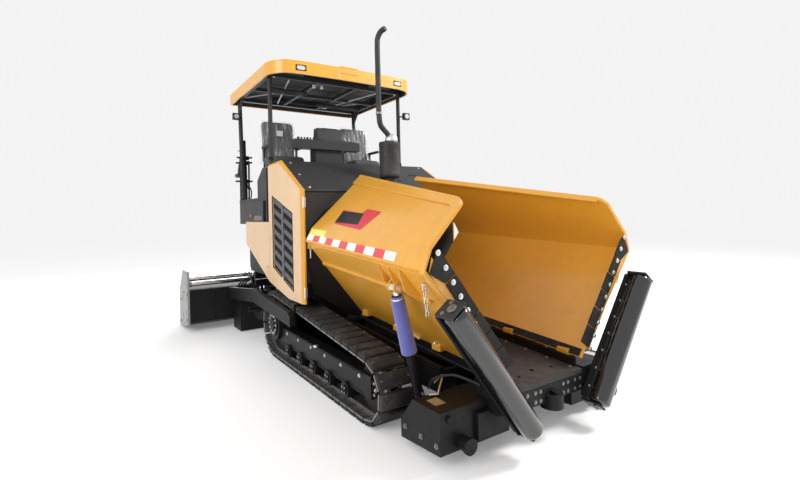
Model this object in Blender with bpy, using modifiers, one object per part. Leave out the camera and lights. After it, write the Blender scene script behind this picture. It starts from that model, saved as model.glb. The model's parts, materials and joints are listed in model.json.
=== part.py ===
"""Tracked asphalt paver: hopper wings and push rollers raised, screed lowered, canopy up.

Metres, +Z up. The machine's front points along -Y, its right-hand side is -X, and the
ground is z = 0. Stations along Y are counted from a datum two metres behind the tracks'
front ends; one empty moves the whole machine so that its box is centred on the origin.
"""
import math

import bmesh
import bpy
from mathutils import Matrix, Vector

# ---------------------------------------------------------------- driving dimensions
GAP = 0.0003            # between pieces that rest on each other
RUN = 0.006             # running clearance round moving pieces
BEARING = 0.0008        # slide and pin bearings

CENTRE_STATION = 0.400   # station that becomes y = 0
SIDES = {"right": -1, "left": 1}

TRACK_OUTER_X = 1.144
TRACK_WIDTH = 0.32
SHOE_COUNT = 44
LOOP_STEPS = 128
SHOE_THICKNESS = 0.055
BELT_THICKNESS = 0.035
SHOE_GAP = 0.022
IDLER_Y, IDLER_RADIUS = -1.705, 0.295       # outer radius over the shoes
SPROCKET_Y, SPROCKET_RADIUS = 0.64, 0.42

CHASSIS_HALF_WIDTH = 0.60
CHASSIS_PLATE = 0.04
CHASSIS_BOTTOM = 0.25
CHASSIS_REAR = 1.55
FRAME_SEAT = 0.44         # top of the cross walls that carry the hopper floor
DECK_Z = 0.98
DECK_PLATE = 0.05
DECK_HALF_WIDTH = 1.05

HINGE_X = 0.43
HINGE_Z = 0.505          # wing hinge line at the front
HINGE_TILT = math.radians(4.0)
HINGE_AXIS = Vector((0, math.cos(HINGE_TILT), math.sin(HINGE_TILT)))
WING_FRONT = -2.69
WING_REAR = -0.40
WING_PLATE = 0.022
WING_ROWS = 8             # strips along the twisted lower plate
FLOOR_FRONT = -2.72
FLOOR_DROP = 0.062       # floor below the wing hinge line
HINGE_TUBE = 0.026
FLOOR_PLATE = 0.035

EYE_HALF = 0.03           # half width of the wing cylinders' eyes
LUG_PLATE = 0.02
LUG_LEAN = math.radians(51.0)   # wing lugs from straight down, square to the lower plate
WING_BARREL_RADIUS = 0.042
WING_BARREL_END = 0.56    # barrel's mouth above the cylinder's lower pin
WING_ROD_RADIUS = 0.024
WING_ROD_START = 0.48     # rod's inner end, low enough to stay guided at full stroke
SLEEVE_END = 0.43         # sleeve stops this far above the cylinder's lower pin
SLEEVE_WALL = 0.005

PUSH_PIVOT_X, PUSH_PIVOT_Z = 0.53, 0.40
PUSH_ROLLER_RADIUS = 0.085
PUSH_ROLLER_LENGTH = 1.18
PUSH_ROLLER_Y = -2.865
PUSH_FOLD = math.radians(53.0)

BODY_HALF_WIDTH = 1.11
PANEL = 0.045
BAY_FRONT = -0.32
BAY_SPLIT = 0.82
BAY_REAR = 1.90
HOOD_TOP = 2.475
HOOD_APEX = 0.39
HOOD_NOSE_Z = 2.07

PLATFORM_Z = 2.05
PLATFORM_INSET = 0.03     # platform edge inside the body's sides
PLATFORM_REAR = 2.35

SEAT_X, SEAT_FRONT = 0.65, 1.24
SEAT_WIDTH, SEAT_DEPTH = 0.48, 0.50
SEAT_HEIGHT = 0.62        # cushion top above the platform
SEAT_BACK = 0.56          # backrest above the cushion

CONSOLE_X, CONSOLE_FRONT = -0.15, 0.98
CONSOLE_WIDTH, CONSOLE_HEIGHT = 0.40, 1.00

CANOPY_HALF_WIDTH = 1.114
CANOPY_NOSE, CANOPY_FRONT, CANOPY_REAR = 0.50, 0.777, 2.669
CANOPY_NOSE_HALF = 0.88   # half width of the front face between its cut corners
POST_Y = 0.912            # front posts
CANOPY_Z = 3.634
CANOPY_RIM = 0.17
CANOPY_WALL = 0.03

SCREED_FRONT = 2.20
SCREED_HALF_WIDTH = 1.20
SCREED_DEPTH = 0.42
TOW_ARM_SEAT = 0.142      # arm brackets behind the screed's front face
EXTENSION_OUT = 0.60

LIFT_BARREL_END = 0.56    # lift cylinder's mouth below its upper pin
LIFT_ROD_RADIUS = 0.022
LIFT_ROD_START = 0.49     # rod's inner end below the upper pin, still guided when raised

TOW_X = 1.195
TOW_Y, TOW_Z = -0.12, 0.62

# ---------------------------------------------------------------- scene and materials
for old in list(bpy.data.objects):
    bpy.data.objects.remove(old, do_unlink=True)

PAVER = bpy.data.collections.new("asphalt_paver")
bpy.context.scene.collection.children.link(PAVER)
CUTTERS = bpy.data.collections.new("cutters")
bpy.context.scene.collection.children.link(CUTTERS)

ORIGIN = bpy.data.objects.new("machine_origin", None)
ORIGIN.location = (0, -CENTRE_STATION, 0)
PAVER.objects.link(ORIGIN)


def material(name, colour, roughness, metallic=0.0):
    mat = bpy.data.materials.new(name)
    mat.use_nodes = True
    shader = mat.node_tree.nodes["Principled BSDF"]
    shader.inputs["Base Color"].default_value = (*colour, 1)
    shader.inputs["Roughness"].default_value = roughness
    shader.inputs["Metallic"].default_value = metallic
    mat.diffuse_color = (*colour, 1)
    return mat


YELLOW = material("yellow_paint", (0.80, 0.42, 0.06), 0.35)
PEACH = material("peach_paint", (0.82, 0.58, 0.36), 0.4)
GREY = material("dark_grey_paint", (0.06, 0.06, 0.065), 0.45)
BLACK = material("black_paint", (0.015, 0.015, 0.017), 0.4)
RUBBER = material("rubber", (0.025, 0.025, 0.025), 0.85)
STEEL = material("bright_steel", (0.7, 0.7, 0.7), 0.25, 1.0)
BLUE = material("blue_fabric", (0.07, 0.08, 0.36), 0.8)
SEAT = material("seat_cover", (0.12, 0.12, 0.125), 0.6)


# ---------------------------------------------------------------- modelling helpers
def mesh_object(name, bm, mat=None, collection=None):
    """A bmesh as an object under the machine's origin."""
    bmesh.ops.recalc_face_normals(bm, faces=bm.faces[:])
    mesh = bpy.data.meshes.new(name)
    bm.to_mesh(mesh)
    bm.free()
    if mat:
        mesh.materials.append(mat)
    obj = bpy.data.objects.new(name, mesh)
    (collection or PAVER).objects.link(obj)
    obj.parent = ORIGIN
    return obj


def block(low, high):
    """A box between two corners."""
    bm = bmesh.new()
    low, high = Vector(low), Vector(high)
    size = high - low
    matrix = Matrix.Translation((low + high) / 2) @ Matrix.Diagonal((*size, 1))
    bmesh.ops.create_cube(bm, size=1, matrix=matrix)
    return bm


def rod_between(start, end, radius, segments=16, radius_end=None):
    """A round bar, or a cone, from one point to another."""
    bm = bmesh.new()
    start, end = Vector(start), Vector(end)
    axis = end - start
    turn = axis.to_track_quat("Z", "Y").to_matrix().to_4x4()
    bmesh.ops.create_cone(
        bm, cap_ends=True, segments=segments, radius1=radius,
        radius2=radius if radius_end is None else radius_end, depth=axis.length,
        matrix=Matrix.Translation((start + end) / 2) @ turn)
    return bm


def plate(points, axis, low, high):
    """A flat outline pulled along one axis; points are in the other two axes' order."""
    bm = bmesh.new()
    place = {"X": lambda a, b: (low, a, b),
             "Y": lambda a, b: (a, low, b),
             "Z": lambda a, b: (a, b, low)}[axis]
    verts = [bm.verts.new(place(a, b)) for a, b in points]
    face = bm.faces.new(verts)
    pull = {"X": (high - low, 0, 0), "Y": (0, high - low, 0), "Z": (0, 0, high - low)}[axis]
    grown = bmesh.ops.extrude_face_region(bm, geom=[face])["geom"]
    moved = [item for item in grown if isinstance(item, bmesh.types.BMVert)]
    bmesh.ops.translate(bm, verts=moved, vec=pull)
    return bm


def boolean(obj, other, operation):
    """Joins or cuts obj with other and keeps the result as obj's own mesh."""
    step = obj.modifiers.new(operation.lower(), "BOOLEAN")
    step.operation = operation
    step.object = other
    bpy.context.view_layer.update()
    graph = bpy.context.evaluated_depsgraph_get()
    result = bpy.data.meshes.new_from_object(obj.evaluated_get(graph))
    obj.modifiers.remove(step)
    old = obj.data
    result.name = old.name
    obj.data = result
    bpy.data.meshes.remove(old)
    bpy.data.objects.remove(other, do_unlink=True)


def assembly(name, shapes, mat, cuts=()):
    """One welded body: the first shape with the others joined to it, then cut."""
    obj = mesh_object(name, shapes[0], mat)
    for shape in shapes[1:]:
        boolean(obj, mesh_object(name + "_add", shape, None, CUTTERS), "UNION")
    for shape in cuts:
        boolean(obj, mesh_object(name + "_cut", shape, None, CUTTERS), "DIFFERENCE")
    return obj


def with_origin(obj, point):
    """Moves an object's origin to a joint axis without moving its shape."""
    obj.data.transform(Matrix.Translation(-Vector(point)))
    obj.location = point
    return obj


def between(a, b, share):
    return a + (b - a) * share


def hinge_z(y):
    """Height of the wing hinge line at a station."""
    return HINGE_Z + (y - WING_FRONT) * math.tan(HINGE_TILT)


def mirrored(side, points):
    return [(side * x, z) for x, z in points]


# ---------------------------------------------------------------- tracks
def wrap_path(offset):
    """The closed line round idler and sprocket, moved inwards by offset.

    Returns a function from a share of its length to point and outward normal."""
    r_front = IDLER_RADIUS - offset
    r_rear = SPROCKET_RADIUS - offset
    front = Vector((IDLER_Y, IDLER_RADIUS))
    rear = Vector((SPROCKET_Y, SPROCKET_RADIUS))
    span = rear - front
    line = math.atan2(span.y, span.x)
    lift = math.asin((r_rear - r_front) / span.length)
    top_angle = line + math.pi / 2 + lift       # where the top run meets both wheels
    straight = math.sqrt(span.length ** 2 - (r_rear - r_front) ** 2)
    bottom_angle = -math.pi / 2
    front_arc = 2 * math.pi + bottom_angle - top_angle
    rear_arc = top_angle - bottom_angle
    lengths = [front_arc * r_front, straight, rear_arc * r_rear, straight]
    total = sum(lengths)

    def at(share):
        run = (share % 1.0) * total
        if run < lengths[0]:
            angle = top_angle + run / r_front
            normal = Vector((math.cos(angle), math.sin(angle)))
            return front + normal * r_front, normal
        run -= lengths[0]
        if run < lengths[1]:
            normal = Vector((0, -1))
            foot = Vector((front.x, front.y - r_front))
            return foot + Vector((run, 0)), normal
        run -= lengths[1]
        if run < lengths[2]:
            angle = bottom_angle + run / r_rear
            normal = Vector((math.cos(angle), math.sin(angle)))
            return rear + normal * r_rear, normal
        run -= lengths[2]
        normal = Vector((math.cos(top_angle), math.sin(top_angle)))
        start = rear + normal * r_rear
        forward = Vector((-math.sin(top_angle), math.cos(top_angle)))
        return start + forward * run, normal
    return at, total


def track_outline():
    """The shoes' outer line: each shoe a flat block standing on the belt."""
    at, total = wrap_path(SHOE_THICKNESS)
    points = []
    gap_share = SHOE_GAP / total
    for i in range(SHOE_COUNT):
        start = (i + 0.0) / SHOE_COUNT + gap_share / 2
        end = (i + 1.0) / SHOE_COUNT - gap_share / 2
        a, _ = at(start)
        b, _ = at(end)
        chord = (b - a).normalized()
        out = Vector((chord.y, -chord.x))
        points += [a, a + out * SHOE_THICKNESS, b + out * SHOE_THICKNESS, b]
    return points


def track(name, side):
    """One closed loop of rubber-padded shoes."""
    inner_x = TRACK_OUTER_X - TRACK_WIDTH
    low, high = sorted((side * inner_x, side * TRACK_OUTER_X))
    outer = track_outline()
    obj = mesh_object(name, plate([(p.x, p.y) for p in outer], "X", low, high), RUBBER)
    at, _ = wrap_path(SHOE_THICKNESS + BELT_THICKNESS)
    inner = [at(i / LOOP_STEPS)[0] for i in range(LOOP_STEPS)]
    hole = plate([(p.x, p.y) for p in inner], "X", low - 0.05, high + 0.05)
    boolean(obj, mesh_object(name + "_cut", hole, None, CUTTERS), "DIFFERENCE")
    return obj


def track_frame(name, side):
    """Roller frame inside the loop with idler, sprocket and rollers, on two cross tubes."""
    belt = SHOE_THICKNESS + BELT_THICKNESS

    def inside_loop(radius):
        step = wrap_path(belt)[1] / LOOP_STEPS
        return (radius - belt) * math.cos(step / 2 / (radius - belt)) - GAP

    centre = TRACK_OUTER_X - TRACK_WIDTH / 2

    def wheel(y, z, radius, half_width, segments):
        return rod_between((side * (centre - half_width), y, z),
                           (side * (centre + half_width), y, z), radius, segments)

    def span(x0, x1, y0, y1, z0, z1):
        low, high = sorted((side * x0, side * x1))
        return block((low, y0, z0), (high, y1, z1))

    shapes = [span(centre - 0.10, centre + 0.10, IDLER_Y - 0.02, SPROCKET_Y - 0.13, 0.207, 0.401)]
    shapes.append(wheel(IDLER_Y, IDLER_RADIUS, inside_loop(IDLER_RADIUS), 0.06, 28))
    shapes.append(wheel(SPROCKET_Y, SPROCKET_RADIUS, inside_loop(SPROCKET_RADIUS), 0.05, 32))
    shapes.append(wheel(SPROCKET_Y, SPROCKET_RADIUS, 0.20, 0.145, 24))
    roller_radius = 0.075
    first, last = IDLER_Y + 0.42, SPROCKET_Y - 0.44
    rollers = 5
    for i in range(rollers):
        y = between(first, last, i / (rollers - 1))
        shapes.append(wheel(y, belt + 0.004 + roller_radius, roller_radius, 0.13, 16))
    shapes.append(span(0.5, centre, -1.18, -1.04, 0.27, 0.39))
    shapes.append(span(0.5, centre, -0.02, 0.12, 0.27, 0.39))
    cut_x = CHASSIS_HALF_WIDTH + GAP
    trim = span(0.3, cut_x, -3, 3, 0, 1)
    return assembly(name, shapes, BLACK, [trim])


# ---------------------------------------------------------------- chassis and hopper floor
def chassis_frame():
    """Welded frame: side plates, belly plate, tunnel walls, engine deck and cross walls."""
    w, t = CHASSIS_HALF_WIDTH, CHASSIS_PLATE
    profile = [(-2.06, CHASSIS_BOTTOM), (CHASSIS_REAR, CHASSIS_BOTTOM), (CHASSIS_REAR, DECK_Z + 0.01),
               (BAY_FRONT + 0.04, DECK_Z + 0.01), (BAY_FRONT + 0.04, 0.585), (-2.06, 0.47)]
    shapes = [plate(profile, "X", -w, -w + t), plate(profile, "X", w - t, w)]
    shapes.append(block((-w + 0.01, -2.05, CHASSIS_BOTTOM + 0.005), (w - 0.01, 1.54, CHASSIS_BOTTOM + t)))
    shapes.append(block((-DECK_HALF_WIDTH, BAY_FRONT + 0.03, DECK_Z),
                        (DECK_HALF_WIDTH, BAY_REAR, DECK_Z + DECK_PLATE)))
    for y in (-2.06, -1.1, 0.05, 1.30):
        shapes.append(block((-w + 0.01, y, CHASSIS_BOTTOM + 0.01), (w - 0.01, y + 0.05, FRAME_SEAT)))
    for side in SIDES.values():
        low, high = sorted((side * (w - 0.01), side * 1.03))
        for y in (BAY_FRONT + 0.06, 0.9, 1.75):
            shapes.append(plate([(y, DECK_Z + 0.01), (y + 0.05, DECK_Z + 0.01), (y + 0.05, 0.86),
                                 (y, 0.86)], "X", low, high))
    return assembly("chassis_frame", shapes, BLACK)


def floor_top(y):
    """Height of the hopper floor's upper face at a station."""
    return hinge_z(y) - FLOOR_DROP


def hopper_floor():
    """Sloping base plate between the wings with the conveyor's slot at its rear."""
    half = HINGE_X - HINGE_TUBE - GAP
    top_front, top_rear = floor_top(FLOOR_FRONT), floor_top(BAY_FRONT)
    profile = [(FLOOR_FRONT, top_front), (BAY_FRONT, top_rear), (1.45, top_rear + 0.02),
               (1.45, top_rear + 0.02 - FLOOR_PLATE), (BAY_FRONT, top_rear - FLOOR_PLATE),
               (FLOOR_FRONT, top_front - FLOOR_PLATE)]
    shapes = [plate(profile, "X", -half + 0.002, half - 0.002)]
    for x in (-half + 0.006, half - 0.046):
        web = [(FLOOR_FRONT + 0.12, top_front - 0.02), (BAY_FRONT - 0.1, top_rear - 0.03),
               (BAY_FRONT - 0.1, FRAME_SEAT + GAP), (FLOOR_FRONT + 0.12, FRAME_SEAT + GAP)]
        shapes.append(plate(web, "X", x, x + 0.04))
    y0, y1 = WING_FRONT + 0.03, WING_REAR - 0.03
    rail = [(y0, hinge_z(y0) + 0.01), (y1, hinge_z(y1) + 0.01), (y1, top_rear - 0.02),
            (y0, top_front - 0.02)]
    for side in SIDES.values():
        shapes.append(plate(rail, "X", *sorted((side * (half - 0.022), side * half))))
    return assembly("hopper_floor", shapes, GREY)


def push_beam():
    """Front cross structure: tow piece, side blocks, roller arm seats, cylinder lugs."""
    top = floor_top(FLOOR_FRONT) - FLOOR_PLATE - GAP
    half = HINGE_X - HINGE_TUBE - GAP
    front = FLOOR_FRONT - 0.005
    shapes = [block((-half, front, 0.27), (half, front + 0.05, top))]
    shapes.append(block((-half + 0.01, front + 0.04, 0.27), (half - 0.01, -2.06 - GAP, 0.31)))
    shapes.append(block((-half + 0.01, -2.30, 0.28), (half - 0.01, -2.25, top - 0.002)))
    shapes.append(rod_between((0, front, 0.22), (0, front, 0.33), 0.085, 20))
    for side in SIDES.values():
        low, high = sorted((side * (half - 0.02), side * 1.06))
        face = [(-2.62, 0.10), (-2.14, 0.06), (-2.14, 0.20), (-2.30, 0.395), (-2.62, 0.395)]
        shapes.append(plate(face, "X", low, high))
        low, high = sorted((side * (half + 0.003), side * (PUSH_PIVOT_X + 0.08)))
        seat_plate = [(front, 0.30), (-2.50, 0.30), (-2.50, 0.455), (front, 0.455)]
        shapes.append(plate(seat_plate, "X", low, high))
        base = cylinder_base(side)
        for inner in (-EYE_HALF - GAP - LUG_PLATE, EYE_HALF + GAP):
            lug = plate([(-0.05, -0.14), (0.05, -0.14), (0.05, 0.02), (0, 0.05), (-0.05, 0.02)],
                        "Y", inner, inner + LUG_PLATE)
            place = Matrix.Translation(base) @ Matrix.Rotation(HINGE_TILT, 4, "X")
            bmesh.ops.transform(lug, matrix=place, verts=lug.verts[:])
            shapes.append(lug)
        shapes.append(block((base.x - 0.048, -2.16, base.z - 0.139),
                            (base.x + 0.048, base.y + 0.045, base.z - 0.08)))
    return assembly("push_beam", shapes, BLACK)


# ---------------------------------------------------------------- hopper wings
def wing_sections():
    """(x, z) of bottom edge, lower fold, upper fold and top edge, front and rear."""
    front = [(HINGE_X + 0.006, hinge_z(WING_FRONT) + 0.006), (1.205, 1.395), (1.150, 1.540),
             (0.840, 1.860)]
    rear = [(HINGE_X + 0.006, hinge_z(WING_REAR) + 0.006), (1.095, 1.512), (1.028, 1.640),
            (0.384, 2.228)]
    return front, rear


def wing(name, side):
    """Folded plate wing with a hinge tube, a stiffened top and front edge and a rib."""
    front, rear = wing_sections()

    def at(i, share):
        a, b = front[i], rear[i]
        return Vector((side * between(a[0], b[0], share), between(WING_FRONT, WING_REAR, share),
                       between(a[1], b[1], share)))

    bm = bmesh.new()
    rows = [[bm.verts.new(at(i, k / WING_ROWS)) for i in range(len(front))] for k in range(WING_ROWS + 1)]
    for ahead, behind in zip(rows, rows[1:]):
        for i in range(len(front) - 1):
            bm.faces.new((ahead[i], ahead[i + 1], behind[i + 1], behind[i]))
    bmesh.ops.recalc_face_normals(bm, faces=bm.faces[:])
    mesh = bpy.data.meshes.new(name)
    bm.to_mesh(mesh)
    bm.free()
    mesh.materials.append(YELLOW)
    obj = bpy.data.objects.new(name, mesh)
    PAVER.objects.link(obj)
    obj.parent = ORIGIN
    shell = obj.modifiers.new("plate", "SOLIDIFY")
    shell.thickness = WING_PLATE
    shell.offset = 0
    shell.use_even_offset = True
    bpy.context.view_layer.update()
    graph = bpy.context.evaluated_depsgraph_get()
    solid = bpy.data.meshes.new_from_object(obj.evaluated_get(graph))
    obj.modifiers.remove(shell)
    obj.data = solid
    bpy.data.meshes.remove(mesh)

    def add(shape):
        boolean(obj, mesh_object(name + "_add", shape, None, CUTTERS), "UNION")

    add(rod_between(at(3, 0.01), at(3, 0.99), 0.036, 8))
    hinge = rod_between((side * HINGE_X, WING_FRONT + 0.03, hinge_z(WING_FRONT + 0.03)),
                        (side * HINGE_X, WING_REAR - 0.03, hinge_z(WING_REAR - 0.03)), HINGE_TUBE, 12)
    add(hinge)
    pin = clevis_point(side)
    outward = Vector((side * math.sin(LUG_LEAN), 0, -math.cos(LUG_LEAN)))
    outward = (outward - HINGE_AXIS * outward.dot(HINGE_AXIS)).normalized()
    turn = Matrix((outward, HINGE_AXIS, outward.cross(HINGE_AXIS))).transposed().to_4x4()
    for way in (-1, 1):
        bm = bmesh.new()
        size = Matrix.Diagonal((0.115, LUG_PLATE, 0.10, 1))
        centre = pin - outward * 0.013 + HINGE_AXIS * way * (EYE_HALF + GAP + LUG_PLATE / 2)
        bmesh.ops.create_cube(bm, size=1, matrix=Matrix.Translation(centre) @ turn @ size)
        add(bm)
    return with_origin(obj, (side * HINGE_X, WING_FRONT, hinge_z(WING_FRONT)))


def clevis_point(side):
    return Vector((side * 1.083, -2.13, 1.212))


def cylinder_base(side):
    top = clevis_point(side)
    z = 0.26
    return Vector((side * 0.82, top.y + (top.z - z) * math.tan(HINGE_TILT), z))


def flap(name, side):
    """Rubber strip that closes the gap between wing and floor at the front."""
    shape = [(1.11, 1.520), (1.180, 1.375), (0.52, 0.585), (0.42, 0.655), (1.06, 1.495)]
    back = WING_FRONT - 0.0015
    return mesh_object(name, plate(mirrored(side, shape), "Y", back - 0.012, back), RUBBER)


def wing_cylinder(side, label):
    """Barrel on the front block, and the rod with its fabric sleeve on the wing's lugs."""
    base, top = cylinder_base(side), clevis_point(side)
    along = (top - base).normalized()
    length = (top - base).length
    across = HINGE_AXIS * EYE_HALF
    barrel = rod_between(base + along * 0.08, base + along * WING_BARREL_END, WING_BARREL_RADIUS, 16)
    neck = rod_between(base, base + along * 0.12, 0.027, 16)
    eye = rod_between(base - across, base + across, 0.040, 16)
    bore = rod_between(base + along * 0.14, base + along * (WING_BARREL_END + 0.1),
                       WING_ROD_RADIUS + BEARING, 16)
    obj = assembly("wing_cylinder_barrel_" + label, [barrel, neck, eye], BLACK, [bore])
    with_origin(obj, base)
    sleeve_end = length - SLEEVE_END
    narrow = WING_BARREL_RADIUS + RUN
    wide = narrow + 0.010
    sleeve = rod_between(top - along * 0.078, top - along * sleeve_end, narrow + SLEEVE_WALL, 20,
                         wide + SLEEVE_WALL)
    inside = rod_between(top - along * 0.10, top - along * (sleeve_end + 0.03), narrow, 20, wide)
    rod = rod_between(base + along * WING_ROD_START, top - along * 0.01, WING_ROD_RADIUS, 16)
    head = rod_between(top - across, top + across, 0.038, 16)
    cover = assembly("wing_cylinder_rod_" + label, [sleeve], BLUE, [inside])
    for shape in (rod, head):
        boolean(cover, mesh_object(cover.name + "_add", shape, None, CUTTERS), "UNION")
    with_origin(cover, top)


# ---------------------------------------------------------------- push rollers
def push_roller_group(side, label):
    """Folding arm behind the roller, and the free-turning roller on its two end plates."""
    pivot = Vector((side * PUSH_PIVOT_X, PUSH_ROLLER_Y, PUSH_PIVOT_Z))
    along = Vector((side * math.cos(PUSH_FOLD), 0, math.sin(PUSH_FOLD)))
    across = Vector((side * math.sin(PUSH_FOLD), 0, -math.cos(PUSH_FOLD)))
    inner = pivot - along * 0.24 + across * 0.02
    outer = inner + along * PUSH_ROLLER_LENGTH
    turn = Matrix((along, Vector((0, 1, 0)), along.cross(Vector((0, 1, 0))))).transposed().to_4x4()

    def bar(centre, length, depth, height):
        bm = bmesh.new()
        size = Matrix.Diagonal((length, depth, height, 1))
        bmesh.ops.create_cube(bm, size=1, matrix=Matrix.Translation(centre) @ turn @ size)
        return bm

    back = Vector((0, 0.115, 0))
    middle = (inner + outer) / 2
    shapes = [bar(middle + back, PUSH_ROLLER_LENGTH + 0.07, 0.036, 0.15)]
    for end, way in ((inner, -1), (outer, 1)):
        shapes.append(bar(end + along * way * 0.022 + Vector((0, 0.05, 0)), 0.016, 0.16, 0.14))
    seat_y = FLOOR_FRONT - 0.005 - GAP
    shapes.append(rod_between((pivot.x, PUSH_ROLLER_Y + 0.12, pivot.z), (pivot.x, seat_y, pivot.z),
                              0.05, 20))
    obj = assembly("push_roller_arm_" + label, shapes, BLACK)
    with_origin(obj, (pivot.x, pivot.y, pivot.z))
    roller = rod_between(inner, outer, PUSH_ROLLER_RADIUS, 28)
    stub = rod_between(inner - along * 0.0137, outer + along * 0.0137, 0.03, 16)
    body = assembly("push_roller_" + label, [roller, stub], BLACK)
    with_origin(body, middle)


# ---------------------------------------------------------------- bodywork
def side_profile():
    """(y, z) outline of the louvre door."""
    return [(BAY_FRONT, 0.800), (BAY_FRONT, HOOD_NOSE_Z), (HOOD_APEX, HOOD_TOP),
            (BAY_SPLIT - 0.003, HOOD_TOP - 0.01), (BAY_SPLIT - 0.003, 0.925), (0.13, 0.800)]


def door(name, side):
    """Louvre door hinged at its front edge, with a recess for the slats."""
    outer = side * BODY_HALF_WIDTH
    inner = side * (BODY_HALF_WIDTH - PANEL)
    low, high = sorted((outer, inner))
    bm = plate(side_profile(), "X", low, high)
    bmesh.ops.recalc_face_normals(bm, faces=bm.faces[:])
    edges = []
    for edge in bm.edges:
        a, b = (v.co for v in edge.verts)
        on_face = abs(a.x - outer) < 1e-5 and abs(b.x - outer) < 1e-5
        ahead = max(a.y, b.y) < HOOD_APEX + 1e-4 and min(a.z, b.z) > 0.7 and (a - b).length > 0.75
        if on_face and ahead and max(a.z, b.z) > 1.5:
            edges.append(edge)
    bmesh.ops.bevel(bm, geom=edges, offset=0.035, affect="EDGES", segments=1, profile=0.5, material=-1)
    opening = [(-0.035, 0.91), (0.665, 1.135), (0.665, 2.045), (-0.035, 1.815)]
    depth = sorted((side * (BODY_HALF_WIDTH - 0.035), side * (BODY_HALF_WIDTH + 0.02)))
    obj = assembly(name, [bm], PEACH, [plate(opening, "X", *depth)])
    return with_origin(obj, (side * (BODY_HALF_WIDTH - 0.02), BAY_FRONT - 0.005, 1.4))


def side_panel(name, side):
    """Plain rear side panel with its rising lower edge."""
    low, high = sorted((side * BODY_HALF_WIDTH, side * (BODY_HALF_WIDTH - PANEL)))
    profile = [(BAY_SPLIT + 0.003, 0.928), (BAY_REAR, 1.394), (BAY_REAR, 1.712),
               (BAY_SPLIT + 0.003, 1.712)]
    return mesh_object(name, plate(profile, "X", low, high), PEACH)


def hood():
    """Hollow engine hood: sloping nose, flat top, open below."""
    half = BODY_HALF_WIDTH - PANEL - GAP
    wall = 0.02
    y0, y1 = BAY_FRONT + 0.012, BAY_SPLIT - 0.02
    outline = [(y0, DECK_Z + DECK_PLATE + GAP), (y0, HOOD_NOSE_Z), (HOOD_APEX, HOOD_TOP), (y1, HOOD_TOP),
               (y1, DECK_Z + DECK_PLATE + GAP)]
    inside = [(y0 + wall, 0.9), (y0 + wall, HOOD_NOSE_Z - wall), (HOOD_APEX + 0.005, HOOD_TOP - wall),
              (y1 - wall, HOOD_TOP - wall), (y1 - wall, 0.9)]
    return assembly("hood", [plate(outline, "X", -half, half)], GREY,
                    [plate(inside, "X", -half + wall, half - wall)])


def engine_block():
    return assembly("engine_block", [block((-0.45, -0.10, DECK_Z + DECK_PLATE + GAP), (0.45, 0.66, 1.95))],
                    GREY)


def hopper_rear_wall():
    """Black wall behind the wings with the conveyor opening and a raised centre."""
    y0, y1 = BAY_FRONT - 0.012, BAY_FRONT + 0.0117
    z0 = floor_top(BAY_FRONT) + GAP
    half = [(0.5, z0), (0.98, z0 + 0.30), (1.04, 1.2), (1.04, 1.62), (0.8, 1.86), (0.45, 2.0)]
    outline = half + [(-x, z) for x, z in reversed(half)]
    opening = [(-0.36, z0 - 0.1), (0.36, z0 - 0.1), (0.36, z0 + 0.27), (-0.36, z0 + 0.27)]
    return assembly("hopper_rear_wall", [plate(outline, "Y", y0, y1)], BLACK,
                    [plate(opening, "Y", y0 - 0.1, y1 + 0.1)])


def tank_housing():
    """Closed tank and battery housing under the operator's platform."""
    half = BODY_HALF_WIDTH - PANEL - GAP
    back = BAY_REAR - 0.02
    shapes = [block((-half, BAY_SPLIT + 0.01, DECK_Z + DECK_PLATE + GAP),
                    (half, back, PLATFORM_Z - 0.05 - GAP))]
    for side in SIDES.values():
        pin = lift_points(side)[0]
        for x in (pin.x - 0.03 - GAP - 0.02, pin.x + 0.03 + GAP):
            lug = [(back - 0.01, pin.z - 0.08), (pin.y + 0.03, pin.z - 0.05), (pin.y + 0.05, pin.z),
                   (pin.y + 0.03, pin.z + 0.05), (back - 0.01, pin.z + 0.08)]
            shapes.append(plate(lug, "X", x, x + 0.02))
    return assembly("tank_housing", shapes, BLACK)


def platform():
    """Operator's floor with low side walls and a front wall behind the hood."""
    y0 = BAY_SPLIT + 0.01
    half = BODY_HALF_WIDTH - PLATFORM_INSET
    shapes = [block((-half, y0, PLATFORM_Z - 0.05), (half, PLATFORM_REAR, PLATFORM_Z))]
    shapes.append(block((-half + 0.02, y0 + 0.001, PLATFORM_Z - 0.02), (half - 0.02, y0 + 0.03, 2.45)))
    for side in SIDES.values():
        low, high = sorted((side * (half - 0.05), side * (half - 0.02)))
        y1 = y0 + 0.13
        wall = [(y1, PLATFORM_Z - 0.03), (1.45, PLATFORM_Z - 0.03), (1.45, 2.30), (1.2, 2.46), (y1, 2.46)]
        shapes.append(plate(wall, "X", low, high))
    return assembly("operator_platform", shapes, GREY)


def console():
    """Sliding control console ahead of the seats with its bar-shaped panel."""
    x0, x1 = CONSOLE_X - CONSOLE_WIDTH / 2, CONSOLE_X + CONSOLE_WIDTH / 2
    y0, z1 = CONSOLE_FRONT, PLATFORM_Z + CONSOLE_HEIGHT
    shapes = [block((x0, y0, PLATFORM_Z + GAP), (x1, y0 + 0.22, z1 - 0.25))]
    shapes.append(plate([(y0 + 0.005, z1 - 0.27), (y0 + 0.21, z1 - 0.27), (y0 + 0.16, z1), (y0 + 0.03, z1)],
                        "X", x0 + 0.04, x1 + 0.02))
    shapes.append(block((x0 - 0.33, y0 - 0.05, z1 - 0.32), (x1 + 0.28, y0 + 0.09, z1 - 0.19)))
    return assembly("control_console", shapes, GREY)


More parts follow.
